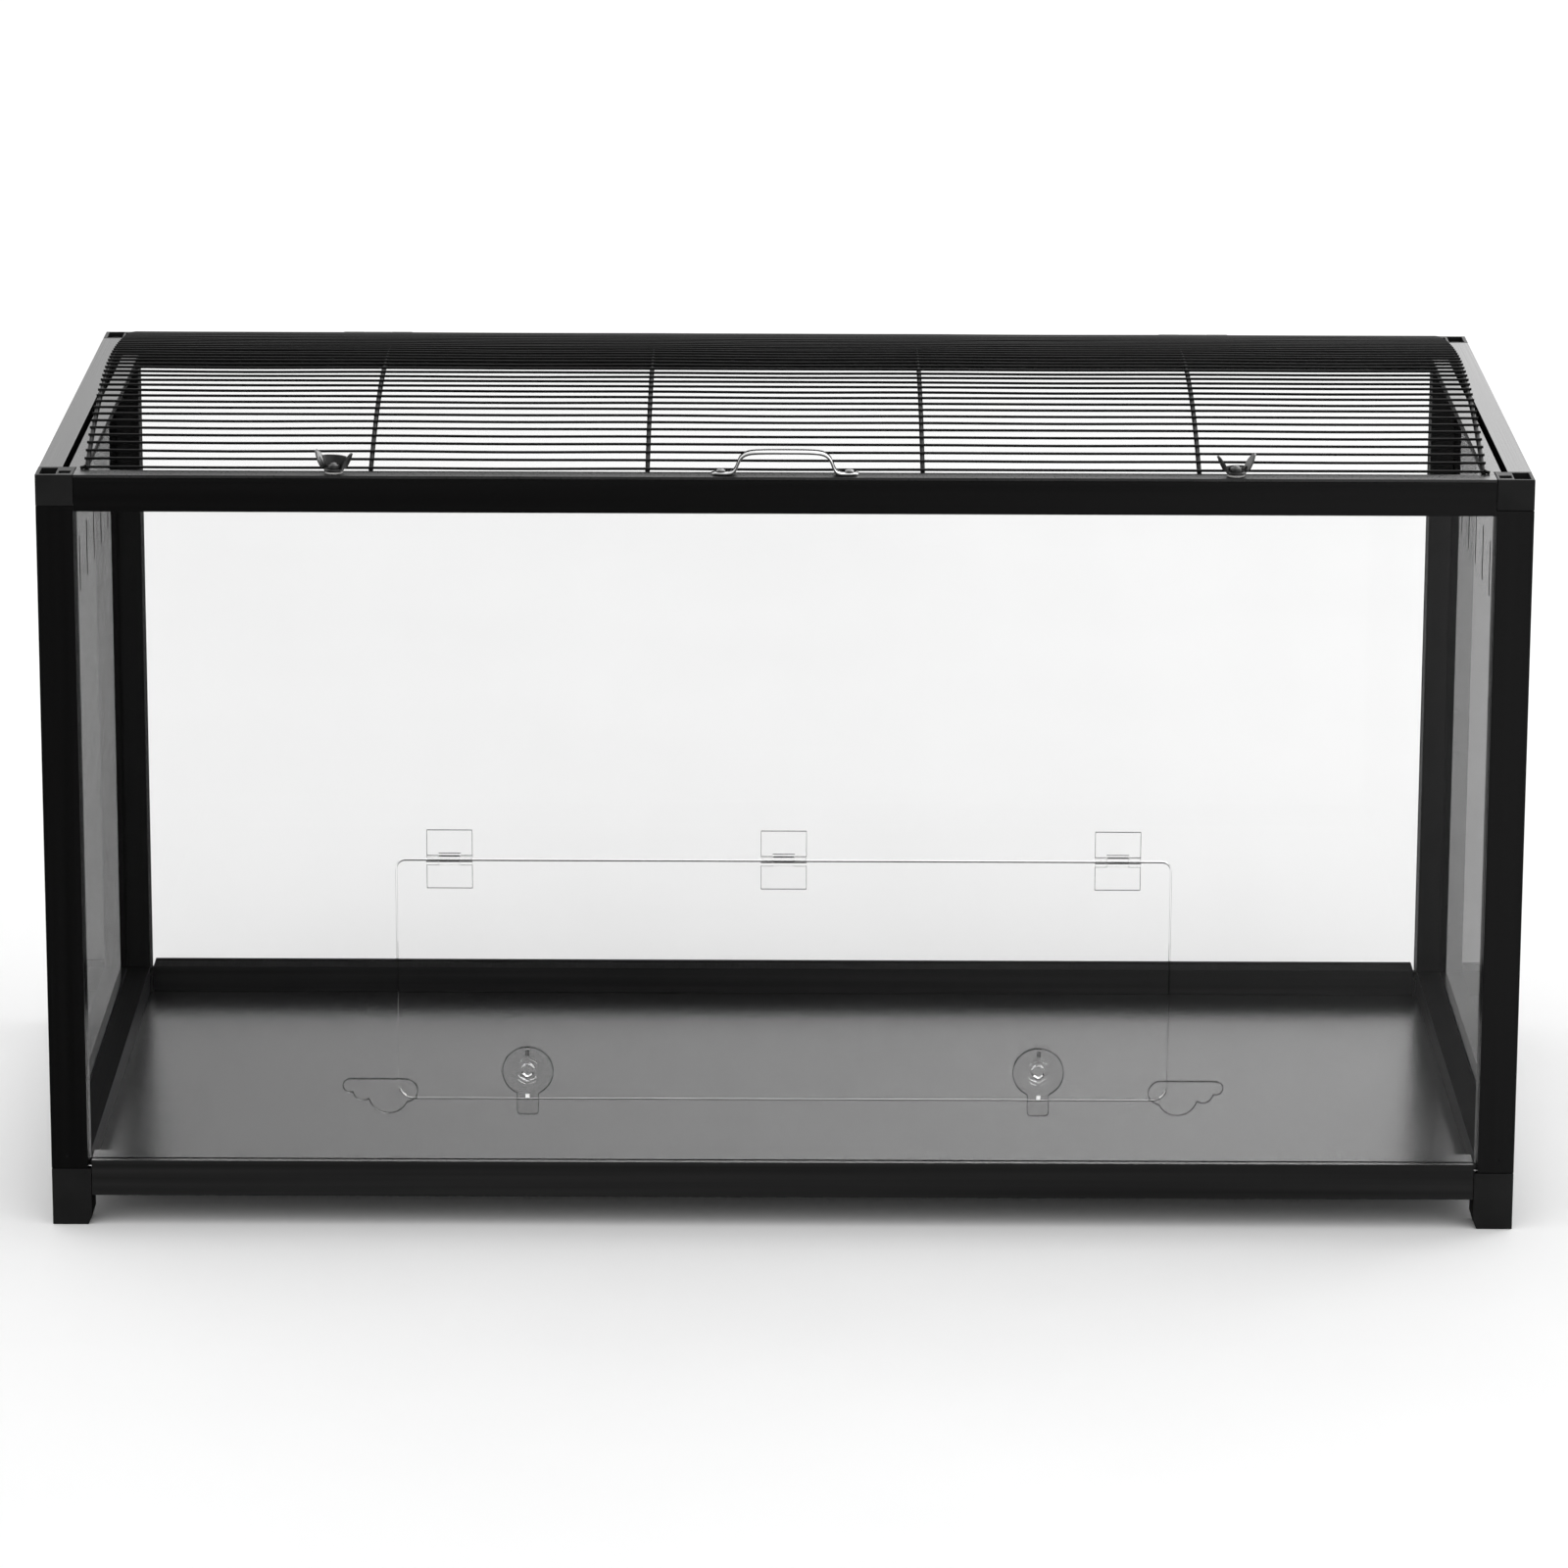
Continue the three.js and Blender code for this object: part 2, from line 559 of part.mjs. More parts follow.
// Room in the rear strip for the hinges' lid leaves.
function hingeNotches() {
  const half = LID_HINGE.width / 2 + GAP;
  const start = LID_AXIS_Y - LID_LEAF_REACH - GAP;
  return LID_HINGE_X.map((x) => (
    block([x - half, start, STRIP.bottom - 1], [x + half, HALF_DEPTH + 1, STRIP_TOP + 1])
  ));
}

function buildLidFrame(lid) {
  const inner = HALF_DEPTH - STRIP.depth;
  const shoulder = HALF_DEPTH - BAR - GAP;
  const front = block([-LID_HALF_WIDTH, -HALF_DEPTH, STRIP.bottom], [LID_HALF_WIDTH, -inner, STRIP_TOP]);
  const rear = block([-LID_HALF_WIDTH, inner, STRIP.bottom], [LID_HALF_WIDTH, HALF_DEPTH, STRIP_TOP]);
  const holes = [
    ...screwHoles([-SCREW.x, SCREW.x], SCREW.holeInStrip),
    ...screwHoles([-HANDLE.screwX, HANDLE.screwX], HANDLE_SCREW.hole),
  ];
  add('lid_front_strip', cut(front, ...holes), blackSteel(), lid);
  add('lid_rear_strip', cut(rear, ...hingeNotches()), blackSteel(), lid);
  const innerX = STRIP.outer - STRIP.side;
  const end = inner - GAP;
  const side = outline([
    [innerX, -end], [LID_HALF_WIDTH, -end], [LID_HALF_WIDTH, -shoulder], [STRIP.outer, -shoulder],
    [STRIP.outer, shoulder], [LID_HALF_WIDTH, shoulder], [LID_HALF_WIDTH, end], [innerX, end],
  ]);
  add('lid_right_strip', prism('z', side, STRIP.bottom, STRIP_TOP), blackSteel(), lid);
  add('lid_left_strip', prism('z', side, STRIP.bottom, STRIP_TOP), blackSteel(), lid).scale.x = -1;
}

// A bow of chromed strap with a screwed foot at each end.
function handleStrap() {
  const { foot, leg, bow, height, strap, width, screwX } = HANDLE;
  const low = GAP + strap / 2;
  const high = height - strap / 2;
  const half = [
    [foot, low], [leg + 3, low], [leg, low + 1.6], [bow + 1.4, high - 5], [bow - 1.5, high - 1.6],
    [bow - 7, high - 0.3], [0, high],
  ];
  const points = [...half, ...half.slice(0, -1).reverse().map(([x, z]) => [-x, z])];
  const shape = ribbon(points.map(([x, z]) => new THREE.Vector2(x, z)), strap);
  const holes = [-screwX, screwX].map((x) => rod('z', HANDLE_SCREW.hole, -1, 4).translate(x, 0, 0));
  return cut(prism('y', shape, -width / 2, width / 2), ...holes);
}

function handleScrew() {
  const top = GAP + HANDLE.strap + GAP;
  return join(
    rod('z', HANDLE_SCREW.head, top, top + HANDLE_SCREW.headHeight),
    rod('z', HANDLE_SCREW.shank, -STRIP.thickness + 0.2, top + 0.5, 10),
  );
}

// A screw with two wings. Its axis is Z and z = 0 is the top of the lid's strip.
function wingScrew() {
  const { shank, length, boss, base, bossTop } = SCREW;
  const wings = outline([
    [-5.4, base], [5.4, base], [10.4, 8], [13, 12], [13.2, 15.6], [11.2, 15.4], [7.6, 9.4],
    [-7.6, 9.4], [-11.2, 15.4], [-13.2, 15.6], [-13, 12], [-10.4, 8],
  ]);
  return join(
    prism('y', wings, -0.9, 0.9),
    rod('z', boss, base, bossTop),
    rod('z', shank, -length, base + 1),
  );
}

function washer() {
  return cut(rod('z', WASHER.radius, GAP, GAP + WASHER.thickness, 20), rod('z', SCREW.holeInStrip, 0, 3));
}

function buildLid() {
  const lid = new THREE.Group();
  cage.add(lid);
  buildLidFrame(lid);
  add('grille', grille(), blackSteel(), lid);
  const topOfStrip = new THREE.Group();
  topOfStrip.position.set(0, -STRIP_MIDDLE_Y, STRIP_TOP);
  lid.add(topOfStrip);
  add('handle', handleStrap(), chrome(), topOfStrip);
  for (const [i, side] of ['left', 'right'].entries()) {
    const sign = 2 * i - 1;
    add(`${side}_handle_screw`, handleScrew(), steel(), topOfStrip).position.x = sign * HANDLE.screwX;
    add(`${side}_washer`, washer(), nylon(), topOfStrip).position.x = sign * SCREW.x;
    const screw = add(`${side}_wing_screw`, wingScrew(), steel(), topOfStrip);
    screw.position.x = sign * SCREW.x;
    screw.rotation.z = SCREW.turn[i];
    const hinge = new THREE.Group();
    hinge.position.set(LID_HINGE_X[i], LID_AXIS_Y, LID_AXIS_Z);
    cage.add(hinge);
    const frameLeaf = add(`${side}_lid_hinge_frame_leaf`, hingeLeaf(LID_HINGE, true), blackSteel(), hinge);
    frameLeaf.rotation.x = Math.PI;
    const lidLeafShape = hingeLeaf({ ...LID_HINGE, reach: LID_LEAF_REACH }, false);
    const lidLeaf = add(`${side}_lid_hinge_lid_leaf`, lidLeafShape, blackSteel(), hinge);
    lidLeaf.rotation.x = Math.PI / 2;
    add(`${side}_lid_hinge_pin`, hingePin(LID_HINGE), steel(), hinge);
  }
}

buildFrame();
buildPanels();
buildDoor();
buildLatchesAndStops();
buildLid();

export default cage;
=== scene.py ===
import json
import math
import random

import bmesh
import bpy
from mathutils import Matrix, Vector

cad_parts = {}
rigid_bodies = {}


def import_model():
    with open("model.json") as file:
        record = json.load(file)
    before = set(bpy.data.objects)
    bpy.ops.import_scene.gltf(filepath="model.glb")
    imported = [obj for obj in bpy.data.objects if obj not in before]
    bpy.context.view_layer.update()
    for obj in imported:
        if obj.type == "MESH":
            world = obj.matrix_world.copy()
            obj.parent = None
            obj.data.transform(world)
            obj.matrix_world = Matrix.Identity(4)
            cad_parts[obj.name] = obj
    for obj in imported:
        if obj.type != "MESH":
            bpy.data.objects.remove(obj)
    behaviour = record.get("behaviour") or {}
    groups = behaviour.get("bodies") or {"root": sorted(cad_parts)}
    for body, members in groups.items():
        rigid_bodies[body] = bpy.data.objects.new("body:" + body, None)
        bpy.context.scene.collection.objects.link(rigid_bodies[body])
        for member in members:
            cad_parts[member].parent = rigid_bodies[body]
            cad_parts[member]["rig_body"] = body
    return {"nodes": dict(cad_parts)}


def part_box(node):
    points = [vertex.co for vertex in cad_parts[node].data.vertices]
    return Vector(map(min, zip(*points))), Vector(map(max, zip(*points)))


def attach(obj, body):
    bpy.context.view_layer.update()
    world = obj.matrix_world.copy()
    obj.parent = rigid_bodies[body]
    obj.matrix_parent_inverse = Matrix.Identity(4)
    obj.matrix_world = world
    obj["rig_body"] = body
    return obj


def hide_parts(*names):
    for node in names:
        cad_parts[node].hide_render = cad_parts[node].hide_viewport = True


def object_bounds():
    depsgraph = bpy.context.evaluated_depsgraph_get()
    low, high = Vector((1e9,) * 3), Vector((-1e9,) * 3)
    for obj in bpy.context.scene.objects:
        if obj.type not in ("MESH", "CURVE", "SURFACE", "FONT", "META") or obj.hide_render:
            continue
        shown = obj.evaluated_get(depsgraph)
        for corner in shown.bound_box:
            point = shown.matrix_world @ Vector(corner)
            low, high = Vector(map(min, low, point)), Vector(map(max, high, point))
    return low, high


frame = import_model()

# The looks of a hamster cage: black aluminium bars, clear acrylic walls and door, and a wire lid.
# Metres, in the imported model's frame. The front of the cage faces -Y.

cad_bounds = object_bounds()

MM = 0.001

# ---- The frame's own places ----


def nodes_ending(*endings):
    """The CAD nodes whose names end so, in name order."""
    return sorted(n for n in frame["nodes"] if n.endswith(endings))


def body_holding(node):
    return frame["nodes"][node]["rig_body"]


def middle_of(node):
    low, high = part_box(node)
    return (low + high) / 2


STRIP_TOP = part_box("lid_front_strip")[1].z
STRIP_MIDDLE_Y = middle_of("lid_front_strip").y
GRILLE_LOW, GRILLE_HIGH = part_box("grille")


# ---- Node trees ----


def ramp(tree, source, edges, values):
    """A value that goes from values[0] to values[1] while source goes from edges[0] to edges[1]."""
    remap = tree.nodes.new("ShaderNodeMapRange")
    for socket, value in zip(("From Min", "From Max", "To Min", "To Max"), (*edges, *values)):
        remap.inputs[socket].default_value = value
    tree.links.new(source, remap.inputs["Value"])
    return remap.outputs["Result"]


class Look:
    """A material with a Principled shader, and short ways to add the nodes that drive it."""

    def __init__(self, name, values):
        self.material = bpy.data.materials.new(name)
        self.material.use_nodes = True
        self.tree = self.material.node_tree
        self.shader = next(n for n in self.tree.nodes if n.type == "BSDF_PRINCIPLED")
        self.output = next(n for n in self.tree.nodes if n.type == "OUTPUT_MATERIAL")
        self.place = self.node("ShaderNodeTexCoord").outputs["Object"]
        for socket, value in values.items():
            self.shader.inputs[socket].default_value = value

    def node(self, kind, **settings):
        made = self.tree.nodes.new(kind)
        for key, value in settings.items():
            setattr(made, key, value)
        return made

    def link(self, source, socket):
        self.tree.links.new(source, socket)

    def noise(self, scale, detail=3.0, roughness=0.5):
        """Noise from 0 to 1. scale is the number of lumps in a metre along X, Y and Z."""
        mapping = self.node("ShaderNodeMapping")
        mapping.inputs["Scale"].default_value = scale if isinstance(scale, tuple) else (scale,) * 3
        self.link(self.place, mapping.inputs["Vector"])
        texture = self.node("ShaderNodeTexNoise")
        texture.inputs["Scale"].default_value = 1.0
        texture.inputs["Detail"].default_value = detail
        texture.inputs["Roughness"].default_value = roughness
        self.link(mapping.outputs["Vector"], texture.inputs["Vector"])
        return texture.outputs["Fac"]

    def spread(self, source, low, high, start=0.3, end=0.7):
        """Moves a value's range from start..end, which holds most of a noise, to low..high."""
        return ramp(self.tree, source, (start, end), (low, high))

    def blend_colours(self, source, first, second):
        mix = self.node("ShaderNodeMix", data_type="RGBA")
        mix.inputs["A"].default_value = (*first, 1)
        mix.inputs["B"].default_value = (*second, 1)
        self.link(source, mix.inputs["Factor"])
        return mix.outputs["Result"]

    def drive(self, socket, source):
        self.link(source, self.shader.inputs[socket])

    def mottle(self, source, first, second):
        """Colours the surface first where source is low and second where it is high."""
        self.drive("Base Color", self.blend_colours(self.spread(source, 0, 1), first, second))

    def bump(self, source, depth):
        """Raises the surface by up to depth metres where source is high."""
        bump = self.node("ShaderNodeBump")
        bump.inputs["Distance"].default_value = depth
        bump.inputs["Strength"].default_value = 1.0
        self.link(source, bump.inputs["Height"])
        if self.shader.inputs["Normal"].is_linked:
            self.link(self.shader.inputs["Normal"].links[0].from_socket, bump.inputs["Normal"])
        self.link(bump.outputs["Normal"], self.shader.inputs["Normal"])


def grey(value, warmth=0.0):
    """A grey, a little redder and less blue where it is warm."""
    return (value * (1 + warmth), value, value * (1 - warmth))


def stretched(axis, along, across):
    """The number of lumps in a metre of a noise that runs along one axis."""
    return tuple(along if letter == axis else across for letter in "XYZ")


# ---- Materials ----

# Tones are shares of the light given back. Noise scales are lumps in a metre.

SHADOW_TINT = 0.92  # the share of a lamp's light that passes through clear acrylic
GLOSSY_FLOOR_EDGES = (-0.1, 0.7)  # metres along X, between which the floor's painted reflection gets lighter
# the floor's painted reflection tones that glossy faces see, on the left and on the right
GLOSSY_FLOOR_TONES = (0.03, 0.25)


def anodised(name, axis, tone, roughness, specular):
    """Black anodised aluminium, with the fine lines of the die along the bar's axis."""
    look = Look(name, {"Specular IOR Level": specular})
    drawn = look.noise(stretched(axis, along=3.0, across=2600.0), detail=4.0)
    broad = look.noise(stretched(axis, along=1.5, across=160.0), detail=2.0)
    look.mottle(broad, grey(tone * 0.7), grey(tone * 1.3))
    look.drive("Roughness", look.spread(drawn, *roughness))
    look.bump(drawn, 0.003 * MM)
    return look.material


def moulded_plastic():
    """The corners' black plastic, with the fine grain of the mould."""
    look = Look("corner_plastic", {"Specular IOR Level": 0.25})
    grain = look.noise(1900.0, detail=2.0)
    broad = look.noise(45.0)
    look.mottle(broad, grey(0.009), grey(0.013))
    look.drive("Roughness", look.spread(grain, 0.38, 0.52))
    look.bump(grain, 0.02 * MM)
    return look.material


def powder_coat(name, tone, roughness, specular, peel_depth):
    """Black powder coat on steel, with a faint orange peel."""
    look = Look(name, {"Specular IOR Level": specular})
    peel = look.noise(700.0, detail=2.0)
    broad = look.noise(30.0)
    look.mottle(broad, grey(tone), grey(tone * 1.5))
    look.drive("Roughness", look.spread(peel, *roughness))
    look.bump(peel, peel_depth)
    return look.material


def floor_sheet():
    """The black floor sheet: semi-gloss, slightly uneven, with fine rubbing marks along its length."""
    look = Look("floor_sheet", {"Specular IOR Level": 0.5})
    rubbed = look.noise(stretched("X", along=18.0, across=900.0), detail=4.0)
    broad = look.noise(5.0, detail=2.0)
    look.mottle(broad, grey(0.010), grey(0.014))
    look.drive("Roughness", look.spread(rubbed, 0.23, 0.26))
    look.bump(broad, 0.03 * MM)
    look.bump(rubbed, 0.0004 * MM)
    return look.material


def clear_acrylic(name, tint=0.99, roughness=(0.0, 0.008), waves=0.001, index=1.49, specular=0.5):
    """Clear acrylic. Light from the lamps passes through it, and faint smears dull it in places."""
    look = Look(name, {"Transmission Weight": 1.0, "IOR": index, "Specular IOR Level": specular})
    smears = look.noise((9.0, 9.0, 4.0), detail=5.0, roughness=0.6)
    look.mottle(smears, grey(tint), grey(tint - 0.015))
    look.drive("Roughness", look.spread(smears, *roughness, start=0.45, end=0.75))
    look.bump(look.noise(12.0, detail=1.0), waves * MM)
    path = look.node("ShaderNodeLightPath")
    through = look.node("ShaderNodeBsdfTransparent")
    through.inputs["Color"].default_value = (*grey(SHADOW_TINT), 1)
    mix = look.node("ShaderNodeMixShader")
    look.link(path.outputs["Is Shadow Ray"], mix.inputs[0])
    look.link(look.shader.outputs[0], mix.inputs[1])
    look.link(through.outputs[0], mix.inputs[2])
    look.link(mix.outputs[0], look.output.inputs["Surface"])
    return look.material


def chrome_plate():
    """The handle's chrome, with hairlines along the strap."""
    look = Look("chrome_plate", {"Metallic": 1.0})
    hairlines = look.noise(stretched("X", along=40.0, across=3000.0), detail=3.0)
    look.mottle(look.noise(60.0), grey(0.80), grey(0.70))
    look.drive("Roughness", look.spread(hairlines, 0.07, 0.14))
    look.bump(hairlines, 0.002 * MM)
    return look.material


def zinc_plate(name, tone):
    """Dull plated steel, darker in places."""
    look = Look(name, {"Metallic": 1.0})
    broad = look.noise(260.0, detail=4.0)
    grain = look.noise(2600.0, detail=2.0)
    look.mottle(broad, grey(tone), grey(tone * 0.72))
    look.drive("Roughness", look.spread(grain, 0.28, 0.42))
    look.bump(grain, 0.008 * MM)
    return look.material


def white_nylon():
    """The washers' off-white nylon, which glows a little from inside."""
    look = Look("white_nylon", {"Subsurface Weight": 0.2, "Subsurface Radius": (2 * MM,) * 3})
    grain = look.noise(1500.0)
    look.mottle(grain, grey(0.45, 0.01), grey(0.38, 0.02))
    look.drive("Roughness", look.spread(grain, 0.4, 0.5))
    return look.material


def studio_floor():
    """A white floor. Glossy faces see it painted dark, a painted reflection as if flags hid the lamps,
    lighter towards the right.
    """
    look = Look("studio_floor", {"Specular IOR Level": 0.1})
    mottle = look.noise(3.0)
    white = look.blend_colours(look.spread(mottle, 0, 1), grey(0.90), grey(0.92))
    across = look.node("ShaderNodeSeparateXYZ")
    look.link(look.place, across.inputs[0])
    painted_reflection = look.blend_colours(
        look.spread(across.outputs["X"], 0, 1, *GLOSSY_FLOOR_EDGES), grey(GLOSSY_FLOOR_TONES[0]), grey(GLOSSY_FLOOR_TONES[1])
    )
    seen = look.node("ShaderNodeMix", data_type="RGBA")
    look.link(white, seen.inputs["A"])
    look.link(painted_reflection, seen.inputs["B"])
    look.link(look.node("ShaderNodeLightPath").outputs["Glossy Depth"], seen.inputs["Factor"])
    look.drive("Base Color", seen.outputs["Result"])
    look.drive("Roughness", look.spread(mottle, 0.8, 0.9))
    return look.material


BARS = {axis: anodised(f"anodised_along_{axis.lower()}", axis, 0.003, (0.18, 0.26), 0.5) for axis in "XYZ"}
LOW_BARS = {axis: anodised(f"satin_along_{axis.lower()}", axis, 0.015, (0.42, 0.55), 0.10) for axis in "XY"}
PAINTED_SHADE = anodised("painted_shade_anodised", "Y", 0.002, (0.6, 0.7), 0.02)  # painted shade: a darker, duller copy of the anodising, put where little light reaches a bar
CORNER = moulded_plastic()
LID_STEEL = powder_coat("lid_powder_coat", 0.014, (0.26, 0.34), 1.0, 0.004 * MM)
WIRE_STEEL = powder_coat("wire_powder_coat", 0.004, (0.30, 0.42), 0.2, 0.010 * MM)
FLOOR = floor_sheet()
ACRYLIC = clear_acrylic("clear_acrylic")
DOOR_FITTINGS = clear_acrylic("clear_fittings", tint=1.0, roughness=(0.0, 0.02), waves=0.01, index=1.08)
LATCH_CLEAR = clear_acrylic("clear_latch", tint=0.93, roughness=(0.0, 0.03), waves=0.02, index=1.3)
# Painted shade: the acrylic's edges are tinted dark, near black on the walls and fittings and grey on the
# side walls, for the dark outlines that clear edges show.
PAINTED_DARK_EDGE = clear_acrylic(
    "acrylic_edge_painted_dark", tint=0.05, roughness=(0.12, 0.2), waves=0.01, index=1.1, specular=0.05
)
PAINTED_GREY_EDGE = clear_acrylic(
    "acrylic_edge_painted_grey", tint=0.3, roughness=(0.12, 0.2), waves=0.01, index=1.1, specular=0.05
)
CHROME = chrome_plate()
ZINC = zinc_plate("zinc_plate", 0.42)
BLACK_ZINC = zinc_plate("black_zinc_plate", 0.2)
NYLON = white_nylon()


# ---- Making pieces ----

JOIN_DISTANCE = 0.02 * MM  # corners closer than this are one corner

# How far each kind of edge is rounded.
BAR_EDGE = 0.4 * MM
CONNECTOR_EDGE = 0.5 * MM
WALL_EDGE = 0.4 * MM
SHEET_EDGE = 0.3 * MM
LEAF_EDGE = 0.5 * MM
KNOB_EDGE = 0.35 * MM
WASHER_EDGE = 0.2 * MM


def add_piece(name, mesh, body, material, stands_for=()):
    """A new piece that moves with a body and stands for the CAD nodes named."""
    mesh.materials.clear()
    mesh.materials.append(material)
    piece = bpy.data.objects.new(name, mesh)
    bpy.context.scene.collection.objects.link(piece)
    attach(piece, body)
    if stands_for:
        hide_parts(*stands_for)
    return piece


def finished_mesh(name, shape, angle=35):
    """A new mesh from a bmesh, smooth except at its sharp edges. The bmesh is freed."""
    mesh = bpy.data.meshes.new(name)
    shape.normal_update()
    shape.to_mesh(mesh)
    shape.free()
    if "custom_normal" in mesh.attributes:
        mesh.attributes.remove(mesh.attributes["custom_normal"])
    mesh.polygons.foreach_set("use_smooth", [True] * len(mesh.polygons))
    mesh.set_sharp_from_angle(angle=math.radians(angle))
    mesh.update()
    return mesh


def keep_faces_flat(piece):
    """Lets the large faces set the shading of the rounded edges beside them."""
    normals = piece.modifiers.new("large_faces_flat", "WEIGHTED_NORMAL")
    normals.weight = 100  # the most that a face's area may count
    normals.keep_sharp = True


def rounded_copy(node, radius, material, segments=2, other=None, is_other=None, outline=None):
    """A CAD node again, with its sharp edges rounded as the real piece's are.
    The faces that is_other picks get the other material. Where an outline is given, as the front and the back
    of a flat part, only the outer edges between them are rounded."""
    shape = bmesh.new()
    shape.from_mesh(frame["nodes"][node].data)
    bmesh.ops.remove_doubles(shape, verts=shape.verts, dist=JOIN_DISTANCE)
    bmesh.ops.dissolve_limit(
        shape, angle_limit=math.radians(1), verts=shape.verts, edges=shape.edges, delimit={"NORMAL"}
    )
    sharp = [e for e in shape.edges if e.is_manifold and e.calc_face_angle(0) > math.radians(30)]
    if outline:
        sharp = [e for e in sharp if e.is_convex and all(outline[0] < v.co.y < outline[1] for v in e.verts)]
    bmesh.ops.bevel(
        shape, geom=sharp, offset=radius, segments=segments, profile=0.5, affect="EDGES",
        clamp_overlap=not outline,
    )
    bmesh.ops.triangulate(shape, faces=[f for f in shape.faces if len(f.verts) > 4])
    mesh = finished_mesh(node, shape)
    piece = add_piece(f"{node}_rounded", mesh, body_holding(node), material, [node])
    keep_faces_flat(piece)
    if other:
        mesh.materials.append(other)
        for face in mesh.polygons:
            face.material_index = int(is_other(face))
    return piece


def clear_piece(node, radius, material, is_edge, edge=PAINTED_DARK_EDGE, outline=None):
    """A clear piece whose edges are tinted dark, painted shade for the dark outlines that clear edges show.
    """
    return rounded_copy(
        node, radius, material, segments=1, other=edge, is_other=is_edge, outline=outline
    )


def tube(shape, points, radius, across, sides=8):
    """Adds a round bar along a list of points to a bmesh. across is a direction that is never along it."""
    rings = []
    for i, point in enumerate(points):
        along = (points[min(i + 1, len(points) - 1)] - points[max(i - 1, 0)]).normalized()
        side = along.cross(across).normalized()
        up = side.cross(along)
        ring = []
        for k in range(sides):
            angle = 2 * math.pi * k / sides
            ring.append(shape.verts.new(point + radius * (math.cos(angle) * side + math.sin(angle) * up)))
        rings.append(ring)
    join_rings(shape, rings)
    shape.faces.new(reversed(rings[0]))
    shape.faces.new(rings[-1])


def join_rings(shape, rings):
    """Skins neighbouring rings of vertices with quads."""
    for first, second in zip(rings, rings[1:]):
        count = len(first)
        for k in range(count):
            after = (k + 1) % count
            shape.faces.new((first[k], first[after], second[after], second[k]))


def lathe(shape, profile, segments=24):
    """Turns a profile of (radius, height) points about Z. It starts and ends on the axis."""
    rings = []
    for radius, height in profile[1:-1]:
        angles = (2 * math.pi * k / segments for k in range(segments))
        rings.append([shape.verts.new((radius * math.cos(a), radius * math.sin(a), height)) for a in angles])
    join_rings(shape, rings)
    for (_, height), ring, order in ((profile[0], rings[0], -1), (profile[-1], rings[-1], 1)):
        tip = shape.verts.new((0, 0, height))
        for k in range(segments)[::order]:
            pair = (ring[k], ring[(k + 1) % segments])[::order]
            shape.faces.new((*pair, tip))


def put_on_strip(mesh, x, turn=0.0):
    """Moves a mesh made about the origin to the middle of the lid's front strip, turned about Z."""
    place = Vector((x, STRIP_MIDDLE_Y, STRIP_TOP))
    mesh.transform(Matrix.Translation(place) @ Matrix.Rotation(turn, 4, "Z"))


# ---- Picking faces ----

SLACK = 0.1 * MM  # room for rounding errors around a place
KNOB_RIM = (-248.3 * MM - SLACK, -245.3 * MM + SLACK)  # a latch's disc and tongue, from front to back
DOOR_AXIS_Z = middle_of("middle_door_hinge_pin").z
BARREL_REACH = 3.5 * MM  # a door hinge's barrel, from its axis
CHANNEL_WIDTH = 4.5 * MM
CHANNEL_DEPTH = 11 * MM
CHANNEL_MIDDLE = 481.75 * MM  # from the middle of the cage
SIDE_WALL = abs(middle_of("left_panel").x)


def is_top_face(face):
    """Picks the faces that look straight up."""
    return face.normal.z > 0.9


def is_level_edge(face):
    """Picks the upper and lower edges of a panel."""
    return abs(face.normal.z) > 0.6


def is_panel_edge(face):
    """Picks every edge of a side panel, its slots' edges too."""
    return abs(face.normal.x) < 0.8


def is_fitting_edge(face):
    """Picks the edges of a flat piece on the door."""
    return abs(face.normal.y) < 0.8


def is_knob_rim(face):
    """Picks the edge of a latch's disc and tongue, but not the fin that stands on them."""
    return is_fitting_edge(face) and KNOB_RIM[0] < face.center.y < KNOB_RIM[1]


def is_leaf_edge(face):
    """Picks the edges of a door hinge's leaf, but not its round barrel."""
    return is_fitting_edge(face) and abs(face.center.z - DOOR_AXIS_Z) > BARREL_REACH


def is_inside_channel(face):
    """Picks the faces of the open channel between a side rail's rib and the lid."""
    from_middle = abs(abs(face.center.x) - CHANNEL_MIDDLE)
    return from_middle < CHANNEL_WIDTH / 2 + SLACK and face.center.z > STRIP_TOP - CHANNEL_DEPTH - SLACK


# ---- Frame, walls, door and lid ----

DIMPLE_RADIUS = 1.7 * MM
DIMPLE_DEPTH = 0.5 * MM
DIMPLE_HEIGHT = 49.5 * MM  # above the floor
DIMPLE_SHIFT = 1.5 * MM  # outwards from the post's middle


def press_dimple(post, middle_x):
    """The round mark near the foot of a front post, where the post is pinned to its corner piece."""
    cutter = bmesh.new()
    place = Vector((
        middle_x + math.copysign(DIMPLE_SHIFT, middle_x),
        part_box("front_left_post")[0].y - DIMPLE_RADIUS + DIMPLE_DEPTH,
        DIMPLE_HEIGHT,
    ))
    bmesh.ops.create_icosphere(cutter, subdivisions=3, radius=DIMPLE_RADIUS, matrix=Matrix.Translation(place))
    post.data = without(post.data.copy(), finished_mesh("dimple", cutter))


def rail_axis(node):
    return "X" if node.startswith(("front", "rear")) else "Y"


def shine_outer_lip(rail):
    """The lip outside a side wall is seen through it and keeps the glossy anodising, while the lip inside
    carries painted shade.
    """
    rail.data.materials.append(BARS["Y"])
    for face in rail.data.polygons:
        if is_top_face(face) and abs(face.center.x) > SIDE_WALL:
            face.material_index = len(rail.data.materials) - 1


